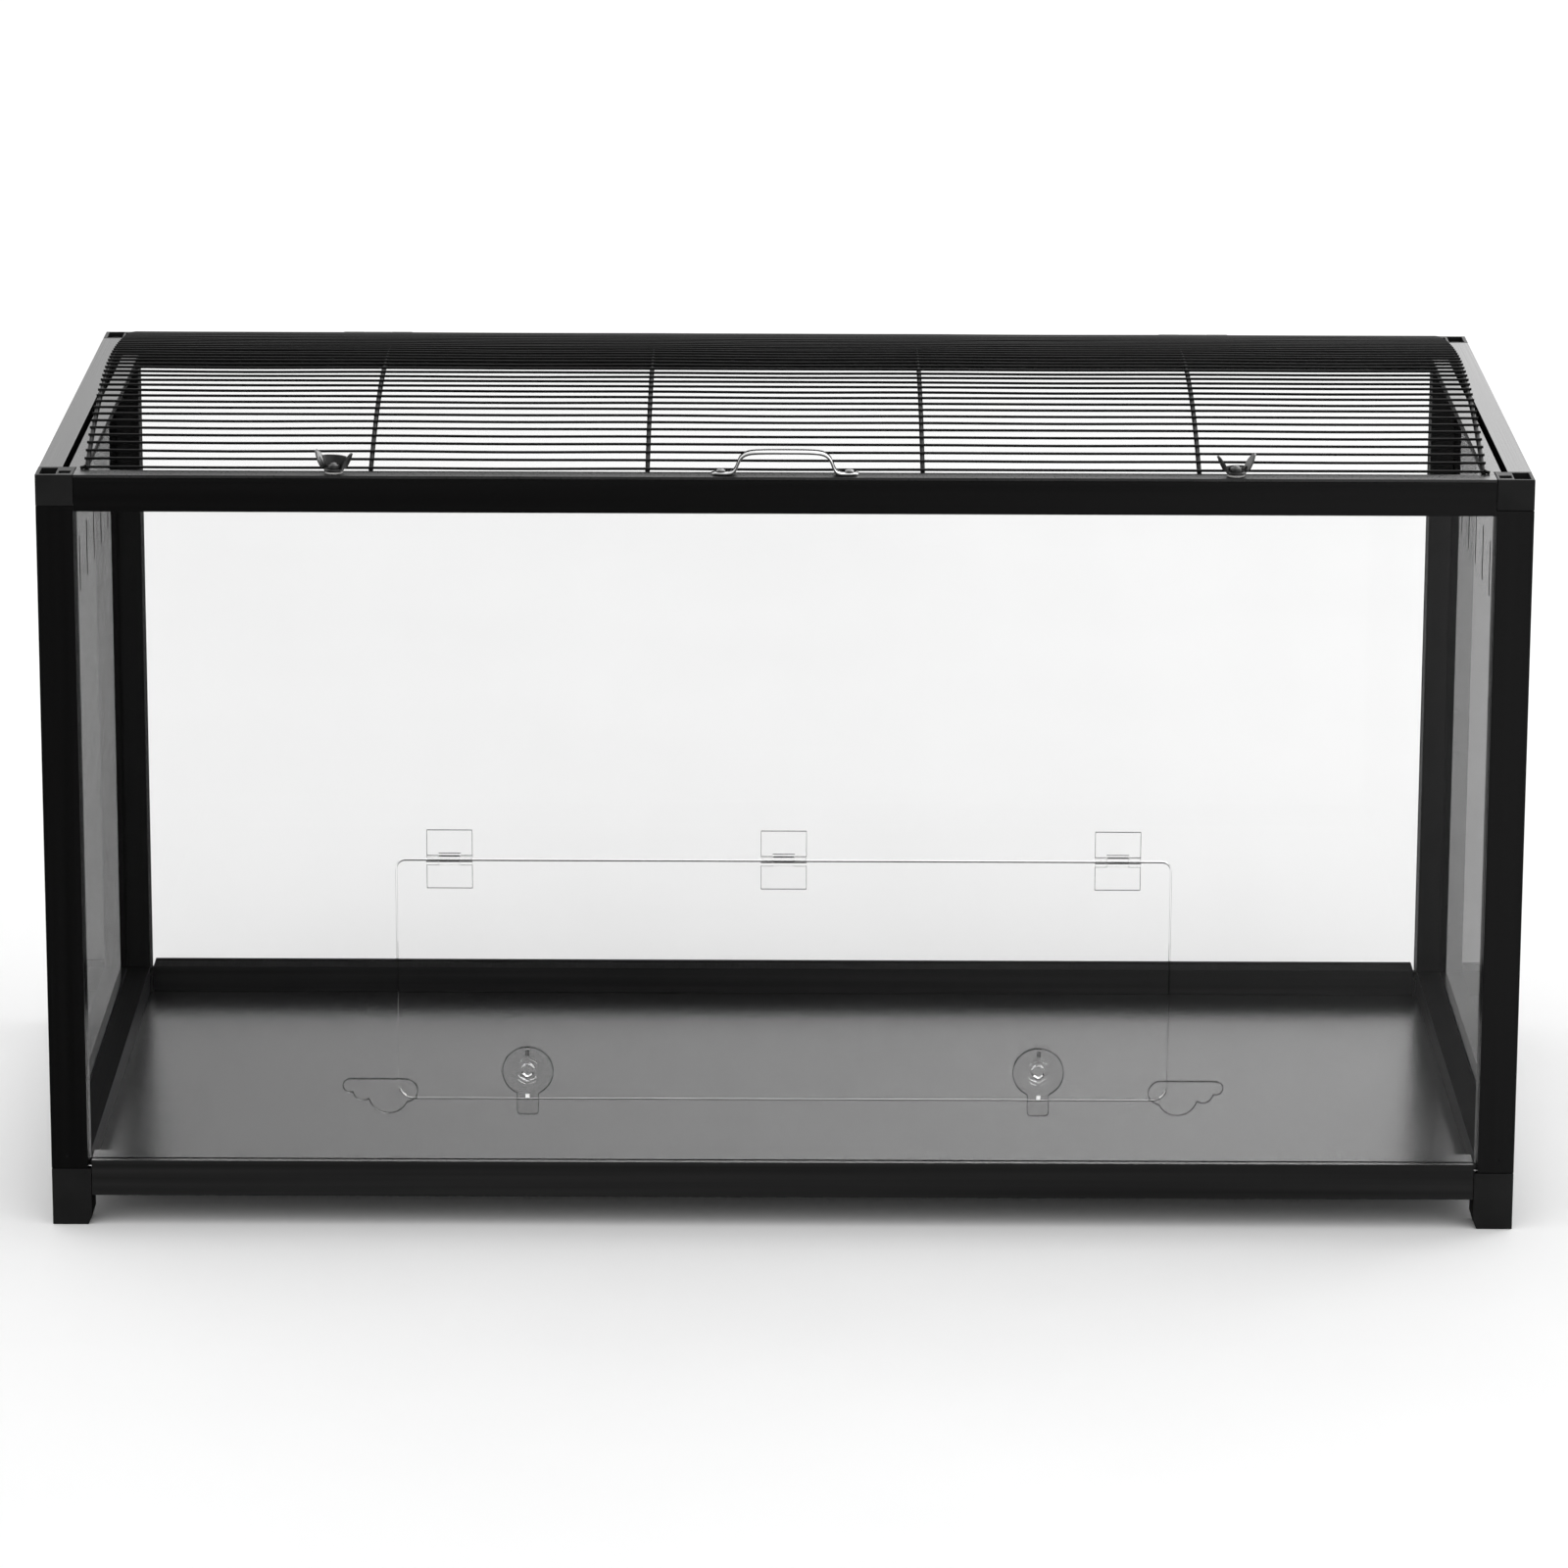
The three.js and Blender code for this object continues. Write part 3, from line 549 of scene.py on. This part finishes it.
def dress_frame():
    for node in nodes_ending("_post"):
        post = rounded_copy(node, BAR_EDGE, BARS["Z"])
        if node.startswith("front"):
            press_dimple(post, middle_of(node).x)
    for node in nodes_ending("_bottom_rail"):
        bar = LOW_BARS[rail_axis(node)]
        # Painted shade on the tops of the side and rear bottom rails; the front rail's top stays glossy.
        top = BARS["X"] if node.startswith("front") else PAINTED_SHADE
        rail = rounded_copy(node, BAR_EDGE, bar, other=top, is_other=is_top_face)
        if node.startswith(("left", "right")):
            shine_outer_lip(rail)
    for node in nodes_ending("_top_rail"):
        bar = BARS[rail_axis(node)]
        # Painted shade inside the open channel of each top rail, where little light reaches.
        rounded_copy(node, BAR_EDGE, bar, other=PAINTED_SHADE, is_other=is_inside_channel)
    for node in nodes_ending("_top_connector"):
        rounded_copy(node, CONNECTOR_EDGE, CORNER)
    for node in nodes_ending("_bottom_connector"):
        # Painted shade on the bottom corner pieces' tops.
        rounded_copy(node, CONNECTOR_EDGE, CORNER, other=PAINTED_SHADE, is_other=is_top_face)


def dress_panels():
    # Each wall's edges get a tinted clear, painted shade: near black on the front, rear and door, grey on the
    # side walls.
    for node in ("front_panel", "rear_panel", "door_panel"):
        clear_piece(node, WALL_EDGE, ACRYLIC, is_level_edge)
    for node in ("left_panel", "right_panel"):
        clear_piece(node, WALL_EDGE, ACRYLIC, is_panel_edge, edge=PAINTED_GREY_EDGE)
    rounded_copy("floor_panel", SHEET_EDGE, FLOOR)


def dress_door_fittings():
    # The fittings' edges get the near black tinted clear, painted shade.
    for node in nodes_ending("_door_hinge_fixed_leaf", "_door_hinge_moving_leaf"):
        clear_piece(node, LEAF_EDGE, DOOR_FITTINGS, is_leaf_edge)
    for node in nodes_ending("_latch_knob"):
        clear_piece(node, KNOB_EDGE, LATCH_CLEAR, is_knob_rim, outline=KNOB_RIM)
    for node in nodes_ending("_door_stop"):
        low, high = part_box(node)
        outline = (low.y - SLACK, high.y + SLACK)
        clear_piece(node, WALL_EDGE, DOOR_FITTINGS, is_fitting_edge, outline=outline)
    for node in nodes_ending("_door_hinge_pin", "_latch_retainer"):
        rounded_copy(node, SHEET_EDGE, DOOR_FITTINGS)


def dress_lid():
    for node in nodes_ending("_strip", "_lid_hinge_frame_leaf", "_lid_hinge_lid_leaf"):
        rounded_copy(node, SHEET_EDGE, LID_STEEL)
    for node in nodes_ending("_lid_hinge_pin"):
        rounded_copy(node, SHEET_EDGE, ZINC)
    for node in nodes_ending("_washer"):
        rounded_copy(node, WASHER_EDGE, NYLON)


# ---- Wire crown ----

SEED = 7
WIRE_COUNT = 47
WIRE_RADIUS = 0.93 * MM
ARCH_RADIUS = 1.6 * MM
ARCH_PLACES = tuple(x * MM for x in (-467, -277, -92, 92, 277, 467))
CREST_Y = -38 * MM
CROWN_HALVES = {"front": (198 * MM, 2.1), "rear": (274 * MM, 1.75)}  # span and power of each slope
CROWN_RISE = GRILLE_HIGH.z - STRIP_TOP - WIRE_RADIUS - 0.1 * MM
ARCH_DROP = 1.85 * MM  # the arches' middle is this far below the wires'
FOOT_DEPTH = 1.2 * MM
FIRST_WIRE_Y = -232 * MM
SAG = 0.5 * MM  # the most that a wire hangs or strays between two arches
STEPS_PER_BAY = 8
WELD_RADII = (1.9 * MM, 1.7 * MM, 1.15 * MM)
TOE_RADIUS = ARCH_RADIUS * 0.75
# A toe's middle line, as (distance outwards, height above the strip).
TOE_LINE = ((0, 2.6 * MM), (1.89 * MM, 1.4 * MM), (4.2 * MM, 0.9 * MM))
CROWN_SAMPLES = 2000  # steps in which the crown's length is measured


def crown_height(y):
    """The crown's height above the strips. Its crest lies in front of the middle of the lid."""
    span, power = CROWN_HALVES["front" if y < CREST_Y else "rear"]
    return CROWN_RISE * (1 - abs((y - CREST_Y) / span) ** power)


def crown_places(count):
    """Places (y, height above the strips) evenly spaced along the crown, from front to rear."""
    track = []
    travelled = [0.0]
    for i in range(CROWN_SAMPLES + 1):
        y = FIRST_WIRE_Y * (1 - 2 * i / CROWN_SAMPLES)
        track.append(Vector((y, crown_height(y))))
        if i:
            travelled.append(travelled[-1] + (track[i] - track[i - 1]).length)
    places = []
    step = 0
    for i in range(count):
        wanted = travelled[-1] * i / (count - 1)
        while step < CROWN_SAMPLES and travelled[step] < wanted:
            step += 1
        places.append(track[step])
    return places


def wavy_wire(y, z, chance):
    """A wire's points along X. It is held at the arches, and hangs and strays a little between them."""
    points = [Vector((GRILLE_LOW.x, y, z))]
    for start, end in zip(ARCH_PLACES, ARCH_PLACES[1:]):
        hang = -SAG * chance.uniform(0.0, 1.0)
        stray = SAG * chance.uniform(-0.6, 0.6)
        for k in range(STEPS_PER_BAY):
            share = k / STEPS_PER_BAY
            bulge = math.sin(math.pi * share) ** 2
            points.append(Vector((start + (end - start) * share, y + stray * bulge, z + hang * bulge)))
    points.append(Vector((ARCH_PLACES[-1], y, z)))
    points.append(Vector((GRILLE_HIGH.x, y, z)))
    return points


def weld(shape, place):
    """A small flattened lump of metal where a wire crosses an arch."""
    lump = bmesh.ops.create_icosphere(shape, subdivisions=1, radius=1.0)["verts"]
    size = Matrix.Diagonal((*WELD_RADII, 1.0))
    bmesh.ops.transform(shape, matrix=Matrix.Translation(place) @ size, verts=lump)


def build_grille():
    """The lid's wires, arches, welds and toes, in one piece."""
    chance = random.Random(SEED)
    shape = bmesh.new()
    wires = [(y, STRIP_TOP + height) for y, height in crown_places(WIRE_COUNT)]
    for y, z in wires:
        tube(shape, wavy_wire(y, z, chance), WIRE_RADIUS, Vector((0, 0, 1)))
    for x in ARCH_PLACES:
        points = [Vector((x, y, z - ARCH_DROP)) for y, z in wires]
        front, rear = points[0], points[-1]
        first_foot = Vector((x, front.y, STRIP_TOP - FOOT_DEPTH))
        last_foot = Vector((x, rear.y, STRIP_TOP - FOOT_DEPTH))
        tube(shape, [first_foot, *points, last_foot], ARCH_RADIUS, Vector((1, 0, 0)), sides=10)
        for y, z in wires:
            weld(shape, Vector((x, y, z - ARCH_DROP / 2)))
    add_toes(shape, wires)
    mesh = finished_mesh("grille_wires", shape, angle=60)
    add_piece("grille_wires", mesh, "lid", WIRE_STEEL, ["grille"])


def add_toes(shape, wires):
    """The ends of the two outer arches are bent outwards and welded on top of the side strips."""
    for x in (ARCH_PLACES[0], ARCH_PLACES[-1]):
        for y, _ in (wires[0], wires[-1]):
            line = [Vector((x + math.copysign(out, x), y, STRIP_TOP + height)) for out, height in TOE_LINE]
            tube(shape, line, TOE_RADIUS, Vector((0, 1, 0)))


# ---- Wing screws ----

# The two screws stand turned by different angles, in radians, and their cups are not cut to the same height.
WING_SCREW_TURNS = {"left": -0.43, "right": 0.35}
SKIRT_TOPS = {"left": 11.4, "right": 6.5}  # millimetres above the strip, as are the profiles' heights
SHANK_RADIUS = 2.4 * MM
THREAD_DEPTH = 0.3 * MM
THREAD_PITCH = 1.0 * MM
SHANK_SPAN = (-11.8 * MM, 2.5 * MM)
SHEET = 0.9 * MM
# Profiles of (radius, height) in millimetres.
BASE_PROFILE = ((0, 1.9), (5.7, 1.9), (6.6, 2.2), (6.8, 2.8), (6.5, 3.4), (5.6, 3.5), (4.8, 3.2), (0, 3.2))
DOME_PROFILE = (
    (0, 3.0), (4.1, 3.0), (4.3, 3.8), (4.2, 5.2), (3.8, 6.0), (3.2, 6.3), (2.9, 6.0), (2.6, 6.5), (1.8, 7.1),
    (0.9, 7.4), (0, 7.5),
)
SKIRT_FOOT = 2.4  # millimetres above the strip
SKIRT_RADIUS = 5.1  # at the height 0, in millimetres
SKIRT_FLARE = 0.375  # how much the radius grows with the height
SKIRT_DEPTH = (0.4, 2.4)  # share of the radius, and millimetres more, that it reaches back
SKIRT_ROWS = 5
SKIRT_ARC = (8, 172)  # degrees about the screw, across its rear
SKIRT_COLUMNS = 13
WING_LENGTH = 13.0 * MM
WING_LEAN = math.radians(27)  # outwards from upright
WING_FOOT = (7.2 * MM, 3.6 * MM)  # distance from the axis and height
WING_HALF_WIDTH = 4.0 * MM
WING_BULGE = 0.8 * MM  # how much wider each half is in the middle
WING_CURL = 0.9 * MM  # outwards at the tip
WING_DISH = 0.5 * MM  # how far the tip's corners lie behind its middle
WING_ROWS = 10
WING_COLUMNS = 7


def threaded_shank(shape, segments=16, steps_per_pitch=6):
    """The screw's shank, with one start of thread."""
    low, high = SHANK_SPAN
    steps = round((high - low) / THREAD_PITCH * steps_per_pitch)
    rings = []
    for i in range(steps + 1):
        z = low + (high - low) * i / steps
        ring = []
        for k in range(segments):
            phase = (z / THREAD_PITCH - k / segments) % 1.0
            radius = SHANK_RADIUS - THREAD_DEPTH * abs(2 * phase - 1)
            angle = 2 * math.pi * k / segments
            ring.append(shape.verts.new((radius * math.cos(angle), radius * math.sin(angle), z)))
        rings.append(ring)
    join_rings(shape, rings)
    shape.faces.new(reversed(rings[0]))
    shape.faces.new(rings[-1])


def sheet_patch(shape, rows):
    """A patch of sheet metal with thickness. rows are lists of (middle, unit direction across the sheet)."""
    outer, inner = [], []
    for row in rows:
        outer.append([shape.verts.new(place + across * SHEET / 2) for place, across in row])
        inner.append([shape.verts.new(place - across * SHEET / 2) for place, across in row])
    width = len(rows[0])
    for i in range(len(rows) - 1):
        for k in range(width - 1):
            shape.faces.new((outer[i][k], outer[i][k + 1], outer[i + 1][k + 1], outer[i + 1][k]))
            shape.faces.new((inner[i][k], inner[i + 1][k], inner[i + 1][k + 1], inner[i][k + 1]))
        for k, order in ((0, -1), (width - 1, 1)):
            edge = (outer[i][k], inner[i][k], inner[i + 1][k], outer[i + 1][k])
            shape.faces.new(edge[::order])
    for i, order in ((0, 1), (len(rows) - 1, -1)):
        for k in range(width - 1):
            edge = (outer[i][k], inner[i][k], inner[i][k + 1], outer[i][k + 1])
            shape.faces.new(edge[::order])


def back_skirt(shape, top):
    """The rear half of the stamped cup, which joins the two wings. It flares towards its top."""
    rows = []
    for i in range(SKIRT_ROWS):
        height = SKIRT_FOOT + (top - SKIRT_FOOT) * i / (SKIRT_ROWS - 1)
        radius = SKIRT_RADIUS + SKIRT_FLARE * height
        depth = SKIRT_DEPTH[0] * radius + SKIRT_DEPTH[1]
        row = []
        for k in range(SKIRT_COLUMNS):
            angle = math.radians(SKIRT_ARC[0] + (SKIRT_ARC[1] - SKIRT_ARC[0]) * k / (SKIRT_COLUMNS - 1))
            across = Vector((math.cos(angle), math.sin(angle), 0))
            place = Vector((across.x * radius, across.y * depth, height))
            row.append((place * MM, across))
        rows.append(row)
    sheet_patch(shape, rows)


def leaf_wing(shape, sign):
    """A leaf of sheet metal folded up from the cup's side and leaning outwards. Its tip is round."""
    up = Vector((sign * math.sin(WING_LEAN), 0, math.cos(WING_LEAN)))
    across = Vector((sign * math.cos(WING_LEAN), 0, -math.sin(WING_LEAN)))
    foot = Vector((sign * WING_FOOT[0], 0, WING_FOOT[1]))
    rows = []
    for i in range(WING_ROWS):
        share = i / (WING_ROWS - 1)
        bulge = WING_BULGE * math.sin(math.pi * min(share * 1.3, 1.0))
        half = (WING_HALF_WIDTH + bulge) * math.sqrt(1 - share ** 3.2 * 0.985)
        middle = foot + up * share * WING_LENGTH + across * WING_CURL * share * share
        row = []
        for k in range(WING_COLUMNS):
            side = 2 * k / (WING_COLUMNS - 1) - 1
            dish = WING_DISH * side * side * share
            row.append((middle - across * dish + Vector((0, side * half, 0)), across))
        rows.append(row)
    sheet_patch(shape, rows)


def wing_screw(side):
    """A screw whose head is stamped from sheet: a round base, a domed middle, a rear skirt and two wings."""
    shape = bmesh.new()
    threaded_shank(shape)
    for profile in (BASE_PROFILE, DOME_PROFILE):
        lathe(shape, [(radius * MM, height * MM) for radius, height in profile])
    back_skirt(shape, SKIRT_TOPS[side])
    for sign in (-1, 1):
        leaf_wing(shape, sign)
    bmesh.ops.recalc_face_normals(shape, faces=shape.faces)
    node = f"{side}_wing_screw"
    mesh = finished_mesh(node, shape, angle=45)
    put_on_strip(mesh, middle_of(f"{side}_washer").x, WING_SCREW_TURNS[side])
    add_piece(f"{node}_stamped", mesh, body_holding(node), BLACK_ZINC, [node])


# ---- Handle ----

HANDLE_THICKNESS = 1.6 * MM
HANDLE_MID_WIDTH = 12.0 * MM
HANDLE_FOOT_WIDTH = 9.0 * MM
HANDLE_TIP = 0.15  # of the foot's radius, where its half circle is cut off
# Half of the strap's middle line, from its foot to the top of the bow, as (x, height) in millimetres.
HANDLE_HALF = (
    (49.3, 1.1), (43, 1.1), (37, 1.1), (34.2, 2.2), (32.4, 5.0), (31.2, 8.6), (29.4, 12.2), (25.6, 14.7),
    (19.5, 15.5), (9, 15.7), (0, 15.7),
)
# The handle screws' outline as (radius, height) in millimetres, up to the edge of the head's top.
PAN_PROFILE = (
    (0, -1.6), (1.4, -1.6), (1.5, 2.2), (3.1, 2.2), (3.2, 2.5), (2.9, 3.2), (2.2, 3.7), (1.2, 3.95),
)
RECESS_SIZE = Vector((3.6 * MM, 0.7 * MM, 1.8 * MM))
RECESS_TURNS = (20, 110)  # degrees


def rounded_off(points, rounds=3):
    """Cuts the corners of a line of points, again and again, and keeps its ends."""
    for _ in range(rounds):
        cut = [points[0]]
        for first, second in zip(points, points[1:]):
            cut.append(first.lerp(second, 0.25))
            cut.append(first.lerp(second, 0.75))
        cut.append(points[-1])
        points = cut
    return points


def handle_width(x, foot_end):
    """The strap is widest at the top of its bow, and each foot ends in a half circle."""
    from_end = foot_end - abs(x)
    radius = HANDLE_FOOT_WIDTH / 2
    if from_end < radius:
        return 2 * math.sqrt(max(radius ** 2 - (radius - from_end) ** 2, (HANDLE_TIP * radius) ** 2))
    swell = math.cos(math.pi / 2 * abs(x) / foot_end) ** 0.6
    return HANDLE_FOOT_WIDTH + (HANDLE_MID_WIDTH - HANDLE_FOOT_WIDTH) * swell


def build_handle():
    """The bowed strap, with chamfered edges."""
    half = [Vector((x * MM, z * MM)) for x, z in HANDLE_HALF]
    line = rounded_off([*half, *(Vector((-p.x, p.y)) for p in reversed(half[:-1]))])
    foot_end = half[0].x
    shape = bmesh.new()
    rings = []
    edge = 0.35 * HANDLE_THICKNESS
    thick = HANDLE_THICKNESS / 2
    for i, point in enumerate(line):
        along = (line[min(i + 1, len(line) - 1)] - line[max(i - 1, 0)]).normalized()
        up = Vector((along.y, -along.x))
        half_width = handle_width(point.x, foot_end) / 2
        ring = []
        for y, height in (
            (-half_width, -thick + edge), (-half_width + edge, -thick), (half_width - edge, -thick),
            (half_width, -thick + edge), (half_width, thick - edge), (half_width - edge, thick),
            (-half_width + edge, thick), (-half_width, thick - edge),
        ):
            place = point + up * height
            ring.append(shape.verts.new((place.x, STRIP_MIDDLE_Y + y, STRIP_TOP + place.y)))
        rings.append(ring)
    join_rings(shape, rings)
    shape.faces.new(rings[0])
    shape.faces.new(rings[-1])
    bmesh.ops.recalc_face_normals(shape, faces=shape.faces)
    mesh = finished_mesh("handle", shape, angle=50)
    add_piece("handle_strap", mesh, "lid", CHROME, ["handle"])


def handle_screw(side):
    """A pan-head screw with a cross recess."""
    node = f"{side}_handle_screw"
    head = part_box(node)[1].z - STRIP_TOP
    shape = bmesh.new()
    lathe(shape, [*((radius * MM, z * MM) for radius, z in PAN_PROFILE), (0, head)])
    mesh = finished_mesh(node, shape, angle=50)
    for turn in RECESS_TURNS:
        mesh = cut_by_box(mesh, RECESS_SIZE, Vector((0, 0, head)), math.radians(turn))
    put_on_strip(mesh, middle_of(node).x)
    add_piece(f"{node}_detailed", mesh, "lid", ZINC, [node])


def cut_by_box(mesh, size, place, turn):
    """The mesh with a box cut out of it."""
    shape = bmesh.new()
    bmesh.ops.create_cube(shape, size=1.0)
    matrix = Matrix.Translation(place) @ Matrix.Rotation(turn, 4, "Z") @ Matrix.Diagonal((*size, 1.0))
    bmesh.ops.transform(shape, matrix=matrix, verts=shape.verts)
    return without(mesh, finished_mesh("cutter", shape))


def without(mesh, cutter_mesh):
    """The mesh with another one cut out of it. Both of the meshes given are used up."""
    piece = bpy.data.objects.new("cut_piece", mesh)
    cutter = bpy.data.objects.new("cutter", cutter_mesh)
    for made in (piece, cutter):
        bpy.context.scene.collection.objects.link(made)
    cut = piece.modifiers.new("cut", "BOOLEAN")
    cut.operation = "DIFFERENCE"
    cut.solver = "EXACT"
    cut.object = cutter
    graph = bpy.context.evaluated_depsgraph_get()
    result = bpy.data.meshes.new_from_object(piece.evaluated_get(graph))
    for made in (piece, cutter):
        used = made.data
        bpy.data.objects.remove(made)
        bpy.data.meshes.remove(used)
    return result


# ---- Build ----

dress_frame()
dress_panels()
dress_door_fittings()
dress_lid()
build_grille()
build_handle()
for side in ("left", "right"):
    wing_screw(side)
    handle_screw(side)


# ---- Stage ----

CAMERA_PLACE = Vector((0.0, -4.750, 1.496))
CAMERA_PITCH = math.radians(14.72)
CAMERA_ROLL = math.radians(0.2)
CAMERA_LENS = 158.5
CAMERA_SENSOR = 36.0
CAMERA_REACH = 100.0
FLOOR_HALF = 15.0
FLOOR_GAP = 0.1 * MM  # below the feet
WORLD_LIGHT = 1.12
CLOTH_TONE = 0.12
CLOTH_EDGES = (-0.35, 0.25)  # share of a direction along Y, between which the cloth ends
RIGHT_GAIN = 1.9  # how much brighter glossy faces see the world's right half
RIGHT_EDGES = (-0.12, 0.12)  # share of a direction along X
SOFTBOX_PLACE = Vector((2.8, 1.4, 2.0))
SOFTBOX_AIM = Vector((0.8, 1.2, 0.0))
SOFTBOX_SIDE = 1.6
SOFTBOX_RADIANCE = 2.4


def add_camera():
    """A long lens in front of the cage and above it. It rolls very slightly."""
    data = bpy.data.cameras.new("camera")
    data.lens = CAMERA_LENS
    data.sensor_width = CAMERA_SENSOR
    data.clip_end = CAMERA_REACH
    camera = bpy.data.objects.new("camera", data)
    camera.location = CAMERA_PLACE
    tilt = Matrix.Rotation(math.pi / 2 - CAMERA_PITCH, 3, "X")
    camera.rotation_euler = (tilt @ Matrix.Rotation(CAMERA_ROLL, 3, "Z")).to_euler()
    bpy.context.scene.collection.objects.link(camera)
    bpy.context.scene.camera = camera


def add_floor():
    mesh = bpy.data.meshes.new("floor")
    corners = [(x * FLOOR_HALF, y * FLOOR_HALF, 0) for x, y in ((-1, -1), (1, -1), (1, 1), (-1, 1))]
    mesh.from_pydata(corners, [], [(0, 1, 2, 3)])
    mesh.materials.append(studio_floor())
    floor = bpy.data.objects.new("floor", mesh)
    floor.location.z = cad_bounds[0].z - FLOOR_GAP
    bpy.context.scene.collection.objects.link(floor)


def add_world():
    """White all round. Glossy faces see the front half dark, as if a black cloth hung behind the camera, and
    the right half brighter."""
    world = bpy.data.worlds.new("studio")
    world.use_nodes = True
    tree = world.node_tree
    background = tree.nodes["Background"]
    background.inputs["Color"].default_value = (1, 1, 1, 1)
    direction = tree.nodes.new("ShaderNodeSeparateXYZ")
    tree.links.new(tree.nodes.new("ShaderNodeTexCoord").outputs["Generated"], direction.inputs[0])
    mirrored = tree.nodes.new("ShaderNodeMath")
    mirrored.operation = "MULTIPLY"
    cloth = ramp(tree, direction.outputs["Y"], CLOTH_EDGES, (CLOTH_TONE, 1.0))
    rightwards = ramp(tree, direction.outputs["X"], RIGHT_EDGES, (1.0, RIGHT_GAIN))
    tree.links.new(cloth, mirrored.inputs[0])
    tree.links.new(rightwards, mirrored.inputs[1])
    seen = tree.nodes.new("ShaderNodeMix")
    seen.inputs["A"].default_value = WORLD_LIGHT
    tree.links.new(mirrored.outputs[0], seen.inputs["B"])
    tree.links.new(tree.nodes.new("ShaderNodeLightPath").outputs["Glossy Depth"], seen.inputs["Factor"])
    tree.links.new(seen.outputs["Result"], background.inputs["Strength"])
    bpy.context.scene.world = world


def add_softbox():
    """A soft square lamp on the right, behind the cage."""
    data = bpy.data.lights.new("right_softbox", "AREA")
    data.shape = "SQUARE"
    data.size = SOFTBOX_SIDE
    data.energy = math.pi * SOFTBOX_SIDE ** 2 * SOFTBOX_RADIANCE
    lamp = bpy.data.objects.new("right_softbox", data)
    lamp.location = SOFTBOX_PLACE
    lamp.rotation_euler = (SOFTBOX_AIM - SOFTBOX_PLACE).to_track_quat("-Z", "Y").to_euler()
    bpy.context.scene.collection.objects.link(lamp)


add_camera()
add_floor()
add_world()
add_softbox()
bpy.context.scene.view_settings.view_transform = "Standard"
